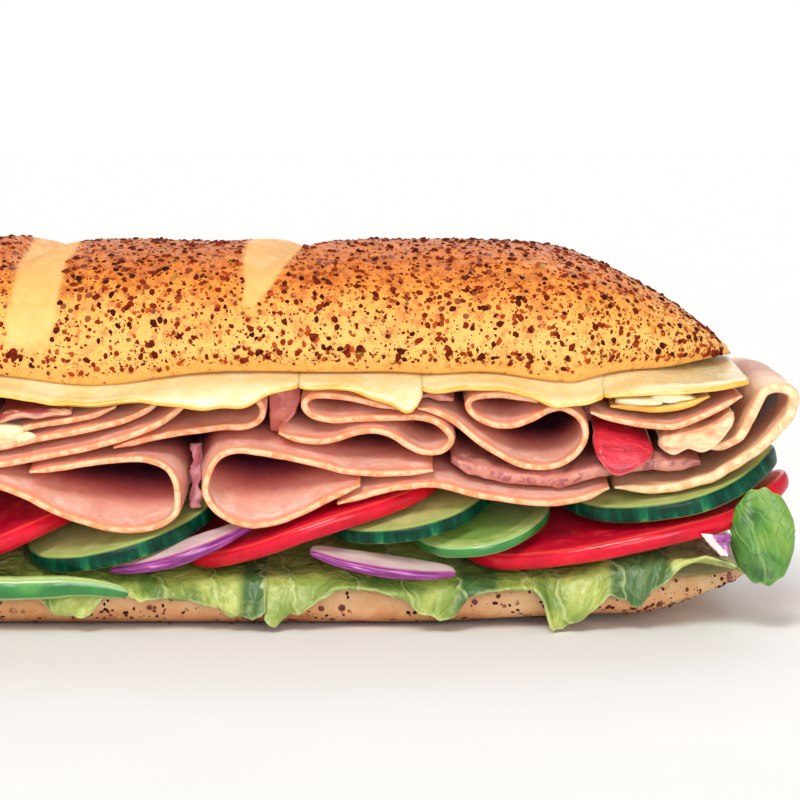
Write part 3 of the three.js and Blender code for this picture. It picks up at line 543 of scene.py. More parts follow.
# How far each crust curls in under its widest line, as an angle, and how uneven it is.
TOP_LIP, BOTTOM_LIP = 0.42, 0.3
TOP_ROUGH, BOTTOM_ROUGH = 0.5, 0.32


def top_profile(x):
    """How far x is from the loaf's end, and the heights of the top half's edge and ridge there."""
    d = LOAF_LENGTH / 2 - np.abs(x)
    edge = TOP_CUT + 2.2 * (1 - smooth(0, 22, d))
    return d, edge, lerp(edge + 3, LOAF_HEIGHT, 1 - (1 - clamp01(d / END_ROUNDING)) ** 2.1)


def top_cut(x, y):
    """The height of the top half's cut face."""
    _, edge, ridge = top_profile(x)
    return np.minimum(edge + crown(x, y) - sag_at(x, y), ridge - 2)


def top_crust(x, a):
    """A point of the top half's crust: a runs from the front edge over the ridge to the back edge."""
    d, edge, ridge = top_profile(x)
    w = TOP_HALF_WIDTH * clamp01(d / 40) ** 0.42
    roll = np.minimum(TOP_ROLL, 0.35 * (ridge - edge))
    s = np.sin(a)
    y = -w * power(np.cos(a), 0.86)
    z = edge + roll + np.where(s > 0, (ridge - edge - roll) * np.abs(s) ** 0.88, roll * s / math.sin(TOP_LIP))
    relief = np.where(s > 0, slash_relief(x, y) * clamp01(d / 20), 0)
    at_lip = w * math.cos(TOP_LIP) ** 0.86
    lip = 1 - smooth(0, 0.6, np.minimum(a + TOP_LIP, np.pi + TOP_LIP - a))
    z = z + lip * (top_cut(x, at_lip) - edge)
    return points(x, y * (1 + relief / 60), z + relief * np.maximum(0, s))


def bottom_cut(x, y):
    return BOTTOM_CUT + crown(x, y)


def bottom_crust(x, a):
    """A point of the bottom half's crust: a runs from the back edge under the loaf to the front edge."""
    d = BOTTOM_LENGTH / 2 - np.abs(x)
    w = BOTTOM_HALF_WIDTH * clamp01(d / 28) ** 0.42
    rise = 2.6 * smooth(72, 128, np.abs(x)) + 6 * (1 - smooth(0, 30, d))
    widest = BOTTOM_WIDEST + 0.25 * rise
    s = np.sin(a)
    y = w * power(np.cos(a), 0.8)
    under = widest - (widest - rise + 1.4) * np.abs(s) ** 0.62
    z = np.where(s > 0, under, widest - (BOTTOM_CUT - widest) * s / math.sin(BOTTOM_LIP))
    lip = 1 - smooth(0, 0.35, np.minimum(a + BOTTOM_LIP, np.pi + BOTTOM_LIP - a))
    return points(x, y, np.maximum(rise, z) + lip * crown(x, w * math.cos(BOTTOM_LIP) ** 0.8))


def crust_normal(crust, x, a):
    e = 0.02
    along = crust(x + 1, a) - crust(x - 1, a)
    over = crust(x, a + e) - crust(x, a - e)
    n = unit(np.cross(along, over))
    centre = np.array([0, 0, 72.0 if crust is top_crust else 8.0])
    p = crust(x, a)
    outwards = np.sum(n * (p * [0, 1, 1] - centre), axis=-1, keepdims=True)
    return n * np.where(outwards < 0, -1, 1)


def rough_crust(crust, x, a):
    """A point of the crust with its unevenness, and how much it belongs to a smooth band."""
    p = crust(x, a)
    top = crust is top_crust
    band = slash_mask(p[..., 0], p[..., 1], p[..., 2]) if top else np.zeros(p.shape[:-1])
    lumps = noise(p, 15, 11) + 0.45 * noise(p, 6, 12) + 0.22 * noise(p, 2.4, 13) * (1 - band)
    lip, rough = (TOP_LIP, TOP_ROUGH) if top else (BOTTOM_LIP, BOTTOM_ROUGH)
    tame = smooth(0, 0.3, np.minimum(a + lip, np.pi + lip - a)) * smooth(1.5, 12, p[..., 2])
    return p + crust_normal(crust, x, a) * (rough * lumps * tame)[..., None], band


def loaf(crust, length, lip, cut_z, stations, over, under):
    """A closed half of the loaf, with over points round its crust and under points across its cut face. Its
    values: crumb is 1 on the cut face, cut 1 on the baker's cuts."""
    s = np.linspace(-1, 1, stations)[:, None]
    x = 0.998 * length / 2 * (0.62 * s + 0.38 * np.sin(np.pi * s / 2))
    a = np.linspace(-lip, np.pi + lip, over)[None, :]
    outer, smoothness = rough_crust(crust, x + 0 * a, a + 0 * x)
    share = np.linspace(1, -1, under + 2)[None, 1:-1]
    y = outer[:, -1, 1][:, None] * share
    face = points(x + 0 * y, y, cut_z(x, y))
    face[..., 2] += 0.22 * noise(face, 2.6, 14) * (1 - np.abs(share) ** 6)
    zero = np.zeros(face.shape[:2])
    crumb = np.concatenate([outer[..., 0] * 0, zero + 1], axis=1)
    cut = np.concatenate([smoothness, zero], axis=1)
    values = {"crumb": np.append(crumb, [0, 0]), "cut": np.append(cut, [0, 0])}
    return *capped(np.concatenate([outer, face], axis=1)), values


TRIES = 8  # places tried for each flake


def flakes(
    crust, rng, count, sizes, lip, density, sides, aspect=0.75, height=0.42, length=LOAF_LENGTH, peaked=False
):
    """Sprinkled flakes on a crust: flat irregular lumps, more of them where density is high. Peaked ones have no
    shoulder, for fewer faces."""
    x = rng.uniform(-length / 2 + 3, length / 2 - 3, count * TRIES)
    a = rng.uniform(-lip, np.pi + lip, count * TRIES)
    p = crust(x, a)
    keep = rng.random(len(x)) < density(x, a, p)
    x, a = x[keep][:count], a[keep][:count]
    p, _ = rough_crust(crust, x, a)
    n = crust_normal(crust, x, a)
    n = unit(n + 0.25 * rng.normal(size=n.shape))
    side = unit(np.cross(n, rng.normal(size=n.shape)))
    other = np.cross(n, side)
    size = rng.uniform(0, 1, len(x)) ** 2.2
    size = lerp(sizes[0], sizes[1], size)[:, None]
    turn = np.linspace(0, 2 * np.pi, sides, endpoint=False)[None, :] + rng.uniform(0, 6, (len(x), 1))
    radius = size * rng.uniform(0.65, 1.15, (len(x), sides))
    flat = side[:, None] * np.cos(turn)[..., None] + aspect * other[:, None] * np.sin(turn)[..., None]
    flat = flat * radius[..., None]
    up = n[:, None] * size[..., None]
    centre = p[:, None]
    rim = centre + flat - 0.3 * up
    shoulder = centre + 0.72 * flat + height * 0.75 * up * rng.uniform(0.5, 1.2, (len(x), sides, 1))
    crest = centre + height * up
    k = np.arange(sides)
    m = (k + 1) % sides
    ring = np.concatenate([rim, crest] if peaked else [rim, shoulder, crest], axis=1)
    total = ring.shape[1]
    base = (np.arange(len(x)) * total)[:, None, None]
    quads = (base + np.stack([k, m, sides + m, sides + k], axis=-1)[None]).reshape(-1, 4)[: 0 if peaked else None]
    top = total - 1 - sides
    tris = (base + np.stack([top + k, top + m, k * 0 + total - 1], axis=-1)[None]).reshape(-1, 3)
    tone = np.repeat(rng.random(len(x)), total)
    p = ring.reshape(-1, 3)
    a, b, c = (p[tris[:: sides, i]] for i in range(3))
    wrong = np.sum(np.cross(b - a, c - a) * n, axis=1).mean() < 0
    return p, quads[:, ::-1] if wrong else quads, tris[:, ::-1] if wrong else tris, {"tone": tone}


# ---- Paints ----


def colour(code):
    """A hex colour as linear RGBA."""
    parts = [int(code[i : i + 2], 16) / 255 for i in (1, 3, 5)]
    return [c / 12.92 if c <= 0.04045 else ((c + 0.055) / 1.055) ** 2.4 for c in parts] + [1]


FIXED = (
    "Subsurface Weight", "Subsurface Scale", "Coat Weight", "Coat Roughness", "Specular IOR Level", "Roughness",
)


class Paint:
    """A material made of nodes round one surface. Sizes are in millimetres."""

    def __init__(self, name, soft=(None, None), coat=(None, None), specular=None, roughness=None):
        """Soft is the weight and depth of light under the skin, coat the weight and roughness of the gloss."""
        self.material = bpy.data.materials.new(name)
        self.material.use_nodes = True
        self.tree = self.material.node_tree
        self.surface = self.tree.nodes["Principled BSDF"]
        fixed = zip(FIXED, (*soft, *coat, specular, roughness))
        for key, value in fixed:
            if value is not None:
                self.surface.inputs[key].default_value = value
        self.place = self.tree.nodes.new("ShaderNodeTexCoord").outputs["Object"]

    def feed(self, socket, value):
        if isinstance(value, bpy.types.NodeSocket):
            self.tree.links.new(value, socket)
        else:
            socket.default_value = colour(value) if isinstance(value, str) else value

    def node(self, kind, inputs=(), **settings):
        made = self.tree.nodes.new(kind)
        for key, value in settings.items():
            setattr(made, key, value)
        for key, value in dict(inputs).items():
            self.feed(made.inputs[key], value)
        return made

    def value(self, name):
        return self.node("ShaderNodeAttribute", attribute_name=name).outputs["Fac"]

    def calc(self, operation, a, b=0.0, c=0.0):
        return self.node("ShaderNodeMath", {0: a, 1: b, 2: c}, operation=operation).outputs[0]

    def plus(self, a, b):
        return self.calc("ADD", a, b)

    def times(self, a, b):
        return self.calc("MULTIPLY", a, b)

    def scaled(self, value, by, plus):
        return self.calc("MULTIPLY_ADD", value, by, plus)

    def step(self, value, low, high, to_low=0.0, to_high=1.0):
        inputs = {"Value": value, "From Min": low, "From Max": high, "To Min": to_low, "To Max": to_high}
        return self.node("ShaderNodeMapRange", inputs, interpolation_type="SMOOTHSTEP").outputs[0]

    def stretched(self, scale):
        return self.node("ShaderNodeMapping", {"Vector": self.place, "Scale": scale}).outputs[0]

    def joined(self, x, y, z=0.0):
        return self.node("ShaderNodeCombineXYZ", {0: x, 1: y, 2: z}).outputs[0]

    def noise(self, size, detail=3.0, distortion=0.0, place=None, unit_scale=1000):
        inputs = {
            "Vector": place or self.place,
            "Scale": unit_scale / size,
            "Detail": detail,
            "Roughness": 0.55,
            "Distortion": distortion,
        }
        return self.node("ShaderNodeTexNoise", inputs).outputs["Fac"]

    def cells(self, size, feature="F1", place=None, unit_scale=1000):
        inputs = {"Vector": place or self.place, "Scale": unit_scale / size}
        made = self.node("ShaderNodeTexVoronoi", inputs, feature=feature)
        return made.outputs["Distance"], made.outputs.get("Color")

    def mix(self, share, a, b, blend="MIX"):
        made = self.node("ShaderNodeMix", data_type="RGBA", blend_type=blend)
        self.feed(made.inputs[0], share)
        self.feed(made.inputs[6], a)
        self.feed(made.inputs[7], b)
        return made.outputs[2]

    def ramp(self, value, *stops):
        made = self.node("ShaderNodeValToRGB", {"Fac": value})
        band = made.color_ramp
        while len(band.elements) < len(stops):
            band.elements.new(0.5)
        for element, (at, code) in zip(band.elements, stops):
            element.position = at
            element.color = colour(code)
        return made.outputs["Color"]

    def spots(self, size, least, most, place=None, amount=None):
        """1 inside round spots of several sizes, and how far out in its spot a point lies."""
        distance, tint = self.cells(size, place=place)
        chance = self.node("ShaderNodeSeparateColor", {"Color": tint})
        radius = self.scaled(self.calc("POWER", chance.outputs[0], 2.0), most - least, least)
        if amount is not None:
            radius = self.times(radius, amount)
        share = self.calc("DIVIDE", distance, self.calc("MAXIMUM", radius, 0.001))
        return self.step(share, 1.12, 0.88), share

    def bump(self, *heights):
        """Relief from (height, depth in mm) pairs, fed to the surface."""
        normal = None
        for height, depth in heights:
            inputs = {"Height": height, "Distance": depth * 0.001, "Strength": 1.0}
            if normal:
                inputs["Normal"] = normal
            normal = self.node("ShaderNodeBump", inputs).outputs[0]
        self.feed(self.surface.inputs["Normal"], normal)

    def finish(self, base, roughness=None):
        self.feed(self.surface.inputs["Base Color"], base)
        if roughness is not None:
            self.feed(self.surface.inputs["Roughness"], roughness)
        return self.material


def height_of(paint):
    return paint.times(paint.node("ShaderNodeSeparateXYZ", {0: paint.place}).outputs["Z"], 1000.0)


def crust_paint():
    k = Paint("crust", soft=(0.06, 0.003), specular=0.25)
    cut, crumb = k.value("cut"), k.value("crumb")
    lift = k.step(height_of(k), 58, 90)
    broad, mid, fine = k.noise(16, 3), k.noise(5, 3), k.noise(1.1, 2)
    tone = k.plus(lift, k.scaled(broad, 0.5, -0.25))
    tone = k.plus(tone, k.scaled(mid, 0.3, -0.15))
    base = k.ramp(
        tone, (0.0, "#f3b862"), (0.25, "#f5ba62"), (0.5, "#f3ac50"), (0.78, "#ef963a"), (1.0, "#e07c28")
    )
    open_crust = k.calc("SUBTRACT", 1.0, cut)
    freckle, _ = k.spots(1.9, 0.02, 0.5, amount=k.scaled(lift, 0.6, 0.55))
    freckle = k.times(freckle, open_crust)
    stain = k.step(k.plus(k.noise(2.2, 4), k.times(lift, 0.12)), 0.56, 0.68)
    stain = k.times(stain, open_crust)
    toast = k.step(k.plus(k.noise(7, 4), k.times(lift, 0.2)), 0.58, 0.8)
    base = k.mix(k.times(toast, 0.55), base, "#c8702c")
    pale = k.ramp(k.plus(k.noise(6, 3), k.times(lift, 0.25)), (0.3, "#f6cc80"), (0.85, "#f0b464"))
    base = k.mix(k.times(cut, 0.9), base, pale)
    base = k.mix(k.times(stain, 0.55), base, "#b4521a")
    base = k.mix(k.times(freckle, 0.9), base, "#7c2c0e")
    pores, _ = k.cells(2.2)
    base = k.mix(crumb, base, k.ramp(pores, (0.1, "#e0c48e"), (0.5, "#f7e8c4")))
    k.bump((k.noise(2.6, 4), 0.7), (fine, 0.25))
    return k.finish(base, k.step(k.noise(3, 2), 0.3, 0.8, 0.42, 0.62))


def base_paint():
    k = Paint("base_crust", soft=(0.05, 0.003))
    crumb = k.value("crumb")
    tone = k.plus(k.noise(11, 4), k.times(k.step(height_of(k), 0, 9), 0.25))
    base = k.ramp(tone, (0.3, "#a05c36"), (0.48, "#c88450"), (0.62, "#d69c6a"), (0.85, "#e2b88a"))
    base = k.mix(k.step(height_of(k), 2.4, 0.2), base, "#7a4a30")
    big, ring = k.spots(6, 0.03, 0.32)
    inner = k.step(ring, 0.6, 0.78)
    rough = k.noise(1.4, 3)
    spot = k.mix(k.times(inner, 0.9), "#a34a3a", "#5a1f22")
    base = k.mix(k.times(big, k.step(rough, 0.25, 0.45)), base, spot)
    small, _ = k.spots(2.4, 0.02, 0.4)
    base = k.mix(k.times(small, k.step(k.noise(9, 2), 0.36, 0.52)), base, "#702820")
    base = k.mix(crumb, base, "#f3e2bd")
    k.bump((k.noise(2.8, 4), 0.5), (rough, 0.2))
    return k.finish(base, 0.62)


def flake_paint(name, dark, light, rough=0.7):
    k = Paint(name, specular=0.12)
    tone = k.scaled(k.value("tone"), 0.75, k.times(k.noise(0.6, 2), 0.3))
    k.bump((k.noise(0.5, 2), 0.15))
    return k.finish(k.ramp(tone, (0.15, dark), (0.9, light)), rough)


def cheese_paint():
    k = Paint("cheese", soft=(0.3, 0.004), coat=(0.25, 0.15))
    edge = k.value("edge")
    soft = k.noise(9, 3, 0.4)
    base = k.ramp(soft, (0.3, "#efca84"), (0.5, "#f3d8a0"), (0.75, "#f8e6c0"))
    rim = k.step(k.plus(edge, k.scaled(k.noise(3, 2), 0.8, -0.4)), 0.75, 0.05)
    base = k.mix(k.times(rim, 0.85), base, "#eeae1c")
    k.bump((k.noise(4, 2), 0.25))
    return k.finish(base, k.step(k.noise(6, 2), 0.3, 0.7, 0.22, 0.36))


# Each meat's rim and its dark patches, face and its dark streaks, the two tones of painted shade in its hollows,
# its veins and its outline, then how much its veins show.
MEATS = {
    "ham": ("#f8c79a #ec9862 #f7b8a2 #e0908a #cf4c54 #3a0a30 #ffdccc #ee8a58", 0.5),
    "ham_scraps": ("#e08a74 #c05a58 #d97a6c #a84a58 #c4605c #8a3048 #f0a890 #c86a60", 0.9),
    "turkey": ("#f9d8ac #f0b480 #f6c8a2 #e3a080 #eab08c #c4785e #fde4c6 #f3be8a", 0.5),
    "shreds": ("#c87c80 #7c2c48 #a85868 #5e1a3c #a04c60 #8a3c40 #f6d4cc #b86c78", 1.0),
    "roast": ("#d08e7c #a05458 #c07c70 #8c444e #8e3c4c #3e1028 #ecb89c #cc7c70", 0.9),
}


def meat_paint(name):
    tones, veins = MEATS[name]
    rim, rim_dark, face, face_dark, deep, painted_deepest_shade, vein, outline = tones.split()
    k = Paint(name, soft=(0.22, 0.003), coat=(0.12, 0.25))
    edge, far = k.value("edge"), k.value("deep")
    streaks = k.noise(7, 5, 1.2, place=k.stretched((1, 0.45, 1)))
    skin = k.ramp(streaks, (0.3, face_dark), (0.52, face), (0.75, vein))
    skin = k.mix(veins, face, skin)
    # Painted shade: far from both cut edges, inside the folds, the face darkens in two steps to the painted shade
    # tones of the hollows.
    nearest = k.calc("MINIMUM", far, k.calc("SUBTRACT", 80.0, far))
    skin = k.mix(k.step(nearest, 6.0, 22.0, 0.0, 0.8), skin, deep)
    skin = k.mix(k.step(nearest, 13.0, 29.0, 0.0, 0.95), skin, painted_deepest_shade)
    cloud = k.step(k.noise(5, 4, 0.8), 0.46, 0.68)
    skin = k.mix(k.times(cloud, k.step(nearest, 10.0, 3.0, 0.0, 0.8)), skin, vein)
    band = k.mix(k.step(k.noise(2.4, 5, 0.6), 0.42, 0.62), rim, rim_dark)
    skin = k.mix(k.step(edge, 2.6, 0.4, 0.0, 0.65), skin, outline)
    border = k.step(k.calc("ABSOLUTE", k.value("side")), 0.45, 0.95, 0.0, 0.6)
    band = k.mix(border, band, outline)
    base = k.mix(k.step(edge, 0.3, 0.08), skin, band)
    k.bump((k.noise(2.2, 4), 0.25), (k.noise(0.7, 2), 0.08))
    return k.finish(base, k.step(k.noise(2.4, 2), 0.3, 0.7, 0.3, 0.48))


def torn_paint():
    k = Paint("torn_turkey", soft=(0.25, 0.003), coat=(0.1, 0.3))
    fibres = k.noise(4, 5, 1.0, place=k.stretched((0.6, 1, 1.5)))
    base = k.ramp(fibres, (0.3, "#d98d70"), (0.46, "#f3bf94"), (0.6, "#fbdcae"), (0.8, "#ffedcc"))
    base = k.mix(k.step(k.value("edge"), 0.6, 0.1, 0.0, 0.5), base, "#ffe9c0")
    k.bump((fibres, 0.8), (k.noise(0.9, 3), 0.2))
    return k.finish(base, 0.45)


def bacon_paint(name, lean, lean_dark, fat, share):
    k = Paint(name, soft=(0.15, 0.002), coat=(0.3, 0.2))
    grain = k.noise(3.6, 5, 1.5, place=k.stretched((0.35, 1, 1.6)))
    base = k.ramp(grain, (0.32, lean_dark), (share - 0.06, lean), (share, lean), (share + 0.06, fat))
    base = k.mix(k.step(k.value("edge"), 0.5, 0.1, 0.0, 0.6), base, fat)
    k.bump((grain, 0.9), (k.noise(0.8, 2), 0.25))
    return k.finish(base, 0.4)


def skinned(k, flesh, skin, start, lip, near, amount, tint):
    """A slice's flesh inside its skin, with a tinted lip along both edges of the skin."""
    edge = k.value("edge")
    base = k.mix(k.step(edge, start, 0.12), flesh, skin)
    share = k.times(k.step(k.calc("ABSOLUTE", k.value("side")), *lip), k.step(edge, *near))
    return k.mix(k.times(share, amount), base, tint)


def tomato_paint():
    k = Paint("tomato", soft=(0.08, 0.003), specular=0.3, coat=(0.1, 0.12))
    edge = k.value("edge")
    flesh = k.ramp(k.noise(4, 4, 0.8), (0.3, "#a80026"), (0.55, "#cc0c30"), (0.8, "#ec4a3c"))
    wall = k.step(edge, 4.0, 2.6)
    flesh = k.mix(k.times(wall, 0.8), flesh, "#c60f2c")
    skin = k.ramp(k.noise(8, 3), (0.3, "#b80020"), (0.6, "#d80a2c"), (0.85, "#ea3038"))
    base = skinned(k, flesh, skin, 0.5, (0.86, 0.97), (0.6, 0.1), 0.35, "#ef6a50")
    k.bump((k.noise(5, 2), 0.18))
    return k.finish(base, k.step(edge, 0.2, 1.0, 0.2, 0.3))


def cucumber_paint():
    k = Paint("cucumber", soft=(0.06, 0.003), specular=0.18, coat=(0.03, 0.12))
    edge, side, turn = k.value("edge"), k.value("side"), k.value("turn")
    where = k.joined(turn, k.times(side, 0.6))
    streak = k.noise(4.2, 3, place=where, unit_scale=1)
    fine = k.noise(1.2, 2, place=where, unit_scale=1)
    shade = k.scaled(fine, 0.16, streak)
    skin = k.ramp(shade, (0.5, "#003022"), (0.64, "#004a34"), (0.71, "#136844"), (0.8, "#6fa052"))
    flesh = k.ramp(k.noise(5, 3), (0.3, "#aab566"), (0.7, "#cdd28c"))
    flesh = k.mix(k.step(edge, 3.2, 0.6, 0.0, 0.75), flesh, "#9fbb62")
    seeds, _ = k.spots(4.5, 0.15, 0.4, place=k.stretched((1, 0.5, 0.2)))
    flesh = k.mix(k.times(k.times(seeds, k.step(edge, 6.0, 8.0)), 0.5), flesh, "#eceab8")
    base = skinned(k, flesh, skin, 0.34, (0.9, 0.99), (0.6, 0.15), 0.35, "#b4c877")
    k.bump((streak, 0.25), (fine, 0.1))
    return k.finish(base, 0.3)


def onion_paint():
    k = Paint("onion", soft=(0.15, 0.002), coat=(0.3, 0.1))
    side, along, deep = (k.value(n) for n in ("side", "along", "deep"))
    lines = k.noise(1.0, 2, place=k.joined(k.times(along, 0.12), k.times(side, 1.6)), unit_scale=1)
    skin = k.ramp(lines, (0.3, "#5d1458"), (0.5, "#86257c"), (0.66, "#b054a6"), (0.8, "#ecc6e2"))
    flesh = k.ramp(k.noise(3, 3, place=k.stretched((0.4, 1, 1))), (0.3, "#e8c0c8"), (0.7, "#f8e6dc"))
    flesh = k.mix(k.step(deep, 1.3, 0.4, 0.0, 0.85), flesh, "#c45aa4")
    base = k.mix(k.step(deep, 0.35, 0.08), flesh, skin)
    k.bump((lines, 0.15))
    return k.finish(base, 0.26)


def onion_tip_paint():
    k = Paint("onion_tip", soft=(0.15, 0.002), coat=(0.3, 0.1))
    across = k.plus(k.value("deep"), k.scaled(k.noise(2, 2), 1.2, -0.6))
    base = k.mix(k.step(across, 1.6, 2.6), "#f2dcd8", k.ramp(k.noise(1.2, 2), (0.3, "#7a2070"), (0.7, "#b062a8")))
    k.bump((k.noise(1.5, 2), 0.1))
    return k.finish(base, 0.28)


def pepper_paint():
    k = Paint("pepper", soft=(0.12, 0.002), coat=(0.35, 0.08))
    edge = k.value("edge")
    skin = k.ramp(k.noise(9, 3), (0.3, "#1f6a30"), (0.55, "#35863c"), (0.8, "#62a848"))
    flesh = k.ramp(k.noise(4, 3), (0.3, "#8fb552"), (0.7, "#c2d684"))
    # Painted shade: more than about 3 mm in from the rim, a pepper ring's face turns darker green for the shaded
    # hollow inside the ring.
    flesh = k.mix(k.step(edge, 2.6, 3.6, 0.0, 0.6), flesh, "#6a9a3e")
    base = skinned(k, flesh, skin, 0.5, (0.62, 0.9), (0.8, 0.2), 0.6, "#cfe39a")
    k.bump((k.noise(4, 2), 0.2))
    return k.finish(base, 0.24)


def lettuce_paint(name, light, mid, dark, rib, ribs=0.7, wrinkle=0.35):
    k = Paint(name, soft=(0.2, 0.002), coat=(0.1, 0.25))
    edge, along, deep = k.value("edge"), k.value("along"), k.value("deep")
    warp = k.scaled(k.noise(9, 2), 9.0, along)
    stem = k.calc("PINGPONG", k.plus(warp, k.times(deep, 0.25)), 6.5)
    where = k.joined(warp, k.times(deep, 0.8))
    web, _ = k.cells(3.4, "DISTANCE_TO_EDGE", place=where, unit_scale=1)
    base = k.ramp(k.noise(12, 4, 0.6), (0.36, dark), (0.49, mid), (0.6, light))
    base = k.mix(k.times(k.value("dark"), k.step(k.noise(8, 3), 0.2, 0.5, 0.55, 0.95)), base, "#3c6534")
    base = k.mix(k.step(web, 0.1, 0.0, 0.0, 0.22 * ribs), base, rib)
    base = k.mix(k.step(stem, 0.75, 0.1, 0.0, ribs), base, rib)
    base = k.mix(k.step(edge, 0.5, 0.1, 0.0, 0.35), base, rib)
    k.bump((k.step(stem, 1.2, 0.0), wrinkle), (k.step(web, 0.2, 0.0), 0.15), (k.noise(2.6, 2), wrinkle))
    return k.finish(base, 0.4)


def sauce_paint():
    k = Paint("mayonnaise", soft=(0.3, 0.003), coat=(0.4, 0.1))
    base = k.ramp(k.noise(5, 3), (0.3, "#f7e3a2"), (0.6, "#fdf3cf"))
    pepper, _ = k.spots(2.6, 0.0, 0.11)
    base = k.mix(pepper, base, "#4a4228")
    k.bump((k.noise(3, 2), 0.3))
    return k.finish(base, 0.25)


# ---- The pieces ----


def stand_in(kind, n, body, paint):
    """The piece in place of the node kind_n."""
    make(f"{kind}_{n}", body, paint, [f"{kind}_{n}"])


def moved(knots, dx):
    return [(x + dx, z) for x, z in knots]


def mirrored(knots, dx=0):
    return [(dx - x, z) for x, z in knots]


FOLDS = {
    "low": [
        (-40.5, 38.3), (-30, 38.5), (-16.5, 38.5), (-6.5, 40.5), (3, 42.5), (11.5, 45), (19.5, 48), (25, 51.6),
        (27.4, 53.7),
    ],
    "middle": [
        (-38.5, 41.2), (-26, 41.6), (-16.5, 42), (-8.5, 44), (1.5, 46.2), (10, 48.1), (16.5, 50.6),
        (20.5, 52.9),
    ],
    "high": [(-23.5, 44.6), (-16.5, 45), (-9.5, 46.8), (-2.5, 48.2), (4.5, 49.6), (9.5, 51.4)],
    "tuck": [
        (9, 42), (17.5, 44), (25.5, 45.5), (34.5, 47), (40.5, 47.5), (43.5, 49.3), (43.8, 51.8), (42, 53.6),
        (38, 54.2), (33.5, 53.9),
    ],
    "purse": [
        (-10, 37), (-2.5, 38), (3.5, 39), (11.5, 40), (17.5, 40), (21.5, 38.5), (23.5, 35.5), (24, 31),
        (23.5, 28), (20, 25.5), (15, 24.5), (9, 25), (3.5, 26.5), (-3.5, 29), (-10, 32.3), (-16.5, 34.6),
        (-22.5, 35.4),
    ],
    "loop": [
        (83.5, 37.5), (76.5, 37), (70, 37), (64.5, 37.5), (58, 39), (50, 41), (42, 42.5), (37.5, 43),
        (33.5, 41.5), (31.5, 38.5), (30.5, 34), (32.5, 30), (36, 27.5), (41, 26), (46.5, 26.5), (52.5, 28.5),
        (60, 32), (66.8, 34.8),
    ],
    "long": [
        (61.5, 30.3), (65.5, 31.4), (70.5, 32.7), (76.5, 33.8), (81.5, 34.3), (86.5, 34), (93.5, 32.3),
        (100.5, 31.3), (110.5, 30.6), (118.5, 31.5), (124.5, 33.6),
    ],
    "hairpin": [
        (75.5, 51.2), (69.5, 52.6), (64, 53.9), (59, 54.4), (55, 54.1), (53.5, 52.2), (55, 50), (60, 48.5),
        (66, 48.9), (74, 49), (80.5, 49), (84.5, 48), (87, 46), (88, 44), (86.5, 42), (83.5, 41), (80.5, 41.5),
        (77.5, 43), (74.5, 45), (70.5, 46.3), (65.5, 46), (60.5, 44.2), (56, 43.6), (50, 44.6), (47.5, 45.6),
    ],
    "swan": [
        (108, 52.9), (104.5, 53.8), (100, 54.2), (94.8, 53.9), (92.5, 53), (92, 51.2), (93.5, 49.3),
        (97, 47.5), (101.5, 47), (106, 48.5), (110.5, 51), (113.5, 51.5), (117.5, 49.5), (119, 46),
        (118, 42.5), (114.5, 39.3), (110, 38), (103.5, 38.7), (97, 42), (92.5, 45), (88.5, 48.3), (84.5, 50.3),
        (80, 51.3),
    ],
    "smile": [
        (120, 51.2), (123, 50), (127, 48.9), (133, 48.1), (139, 48.2), (145, 50.4), (150, 52.7), (155, 55.4),
    ],
    "curl": [
        (125.9, 33), (134.5, 32.9), (143, 34.2), (151, 37.4), (158.5, 42.6), (164, 47.6), (166.5, 52),
        (166.5, 55.5), (163.5, 57.3), (160.2, 56.6), (158.6, 54), (157, 50), (155, 46.2), (151.5, 43.6),
        (146.5, 42.8),
    ],
}


def add_bread():
    top = loaf(top_crust, LOAF_LENGTH, TOP_LIP, top_cut, stations=460, over=112, under=20)
    make("bread_top", top, crust_paint(), ["bread_top"])
    bottom = loaf(bottom_crust, BOTTOM_LENGTH, BOTTOM_LIP, bottom_cut, stations=300, over=76, under=12)
    make("bread_bottom", bottom, base_paint(), ["bread_bottom"])


def add_seasoning():
    rng = np.random.default_rng(8)

    def sprinkled(low, high):
        def density(x, a, p):
            clear = 1 - slash_mask(p[:, 0], p[:, 1], p[:, 2])
            share = clamp01((p[:, 2] - 60) / 29)
            patch = 0.8 + 0.12 * noise(p, 13, 21) + 0.25 * noise(p, 6, 22)
            return clamp01(lerp(low, high, smooth(0.1, 0.95, share)) * patch) * clear ** 3

        return density

    dark = flake_paint("dark_flakes", "#2e0a03", "#86260a")
    red = flake_paint("red_flakes", "#7a1e06", "#c0521a")
    herb = flake_paint("herb_flakes", "#3f3c12", "#9a8c3a")
    large = flakes(top_crust, rng, 5000, (0.38, 1.3), 0.25, sprinkled(0.6, 1), 6)
    small = flakes(top_crust, rng, 14000, (0.17, 0.5), 0.28, sprinkled(0.7, 1), 4, peaked=True)
    make("dark_flakes", join([large, small]), dark)
    large = flakes(top_crust, rng, 4200, (0.38, 1.15), 0.3, sprinkled(1, 0.8), 6, height=0.25)
    small = flakes(top_crust, rng, 16000, (0.16, 0.45), 0.34, sprinkled(1, 0.8), 4, height=0.25, peaked=True)
    make("red_flakes", join([large, small]), red)
    herbs = flakes(top_crust, rng, 300, (0.4, 1.2), 0.3, sprinkled(0.4, 0.6), 6, aspect=0.4)
    make("herb_flakes", herbs, herb)

    def on_base(x, a, p):
        patch = 0.6 + 0.9 * noise(p, 12, 31)
        return clamp01(patch * np.where(p[:, 2] > 2, 1, 0.25))

    specks = flakes(bottom_crust, rng, 2000, (0.2, 1.1), 0.25, on_base, 6, height=0.15, length=BOTTOM_LENGTH)
    make("base_flakes", specks, flake_paint("base_flakes", "#241014", "#7a3026"))


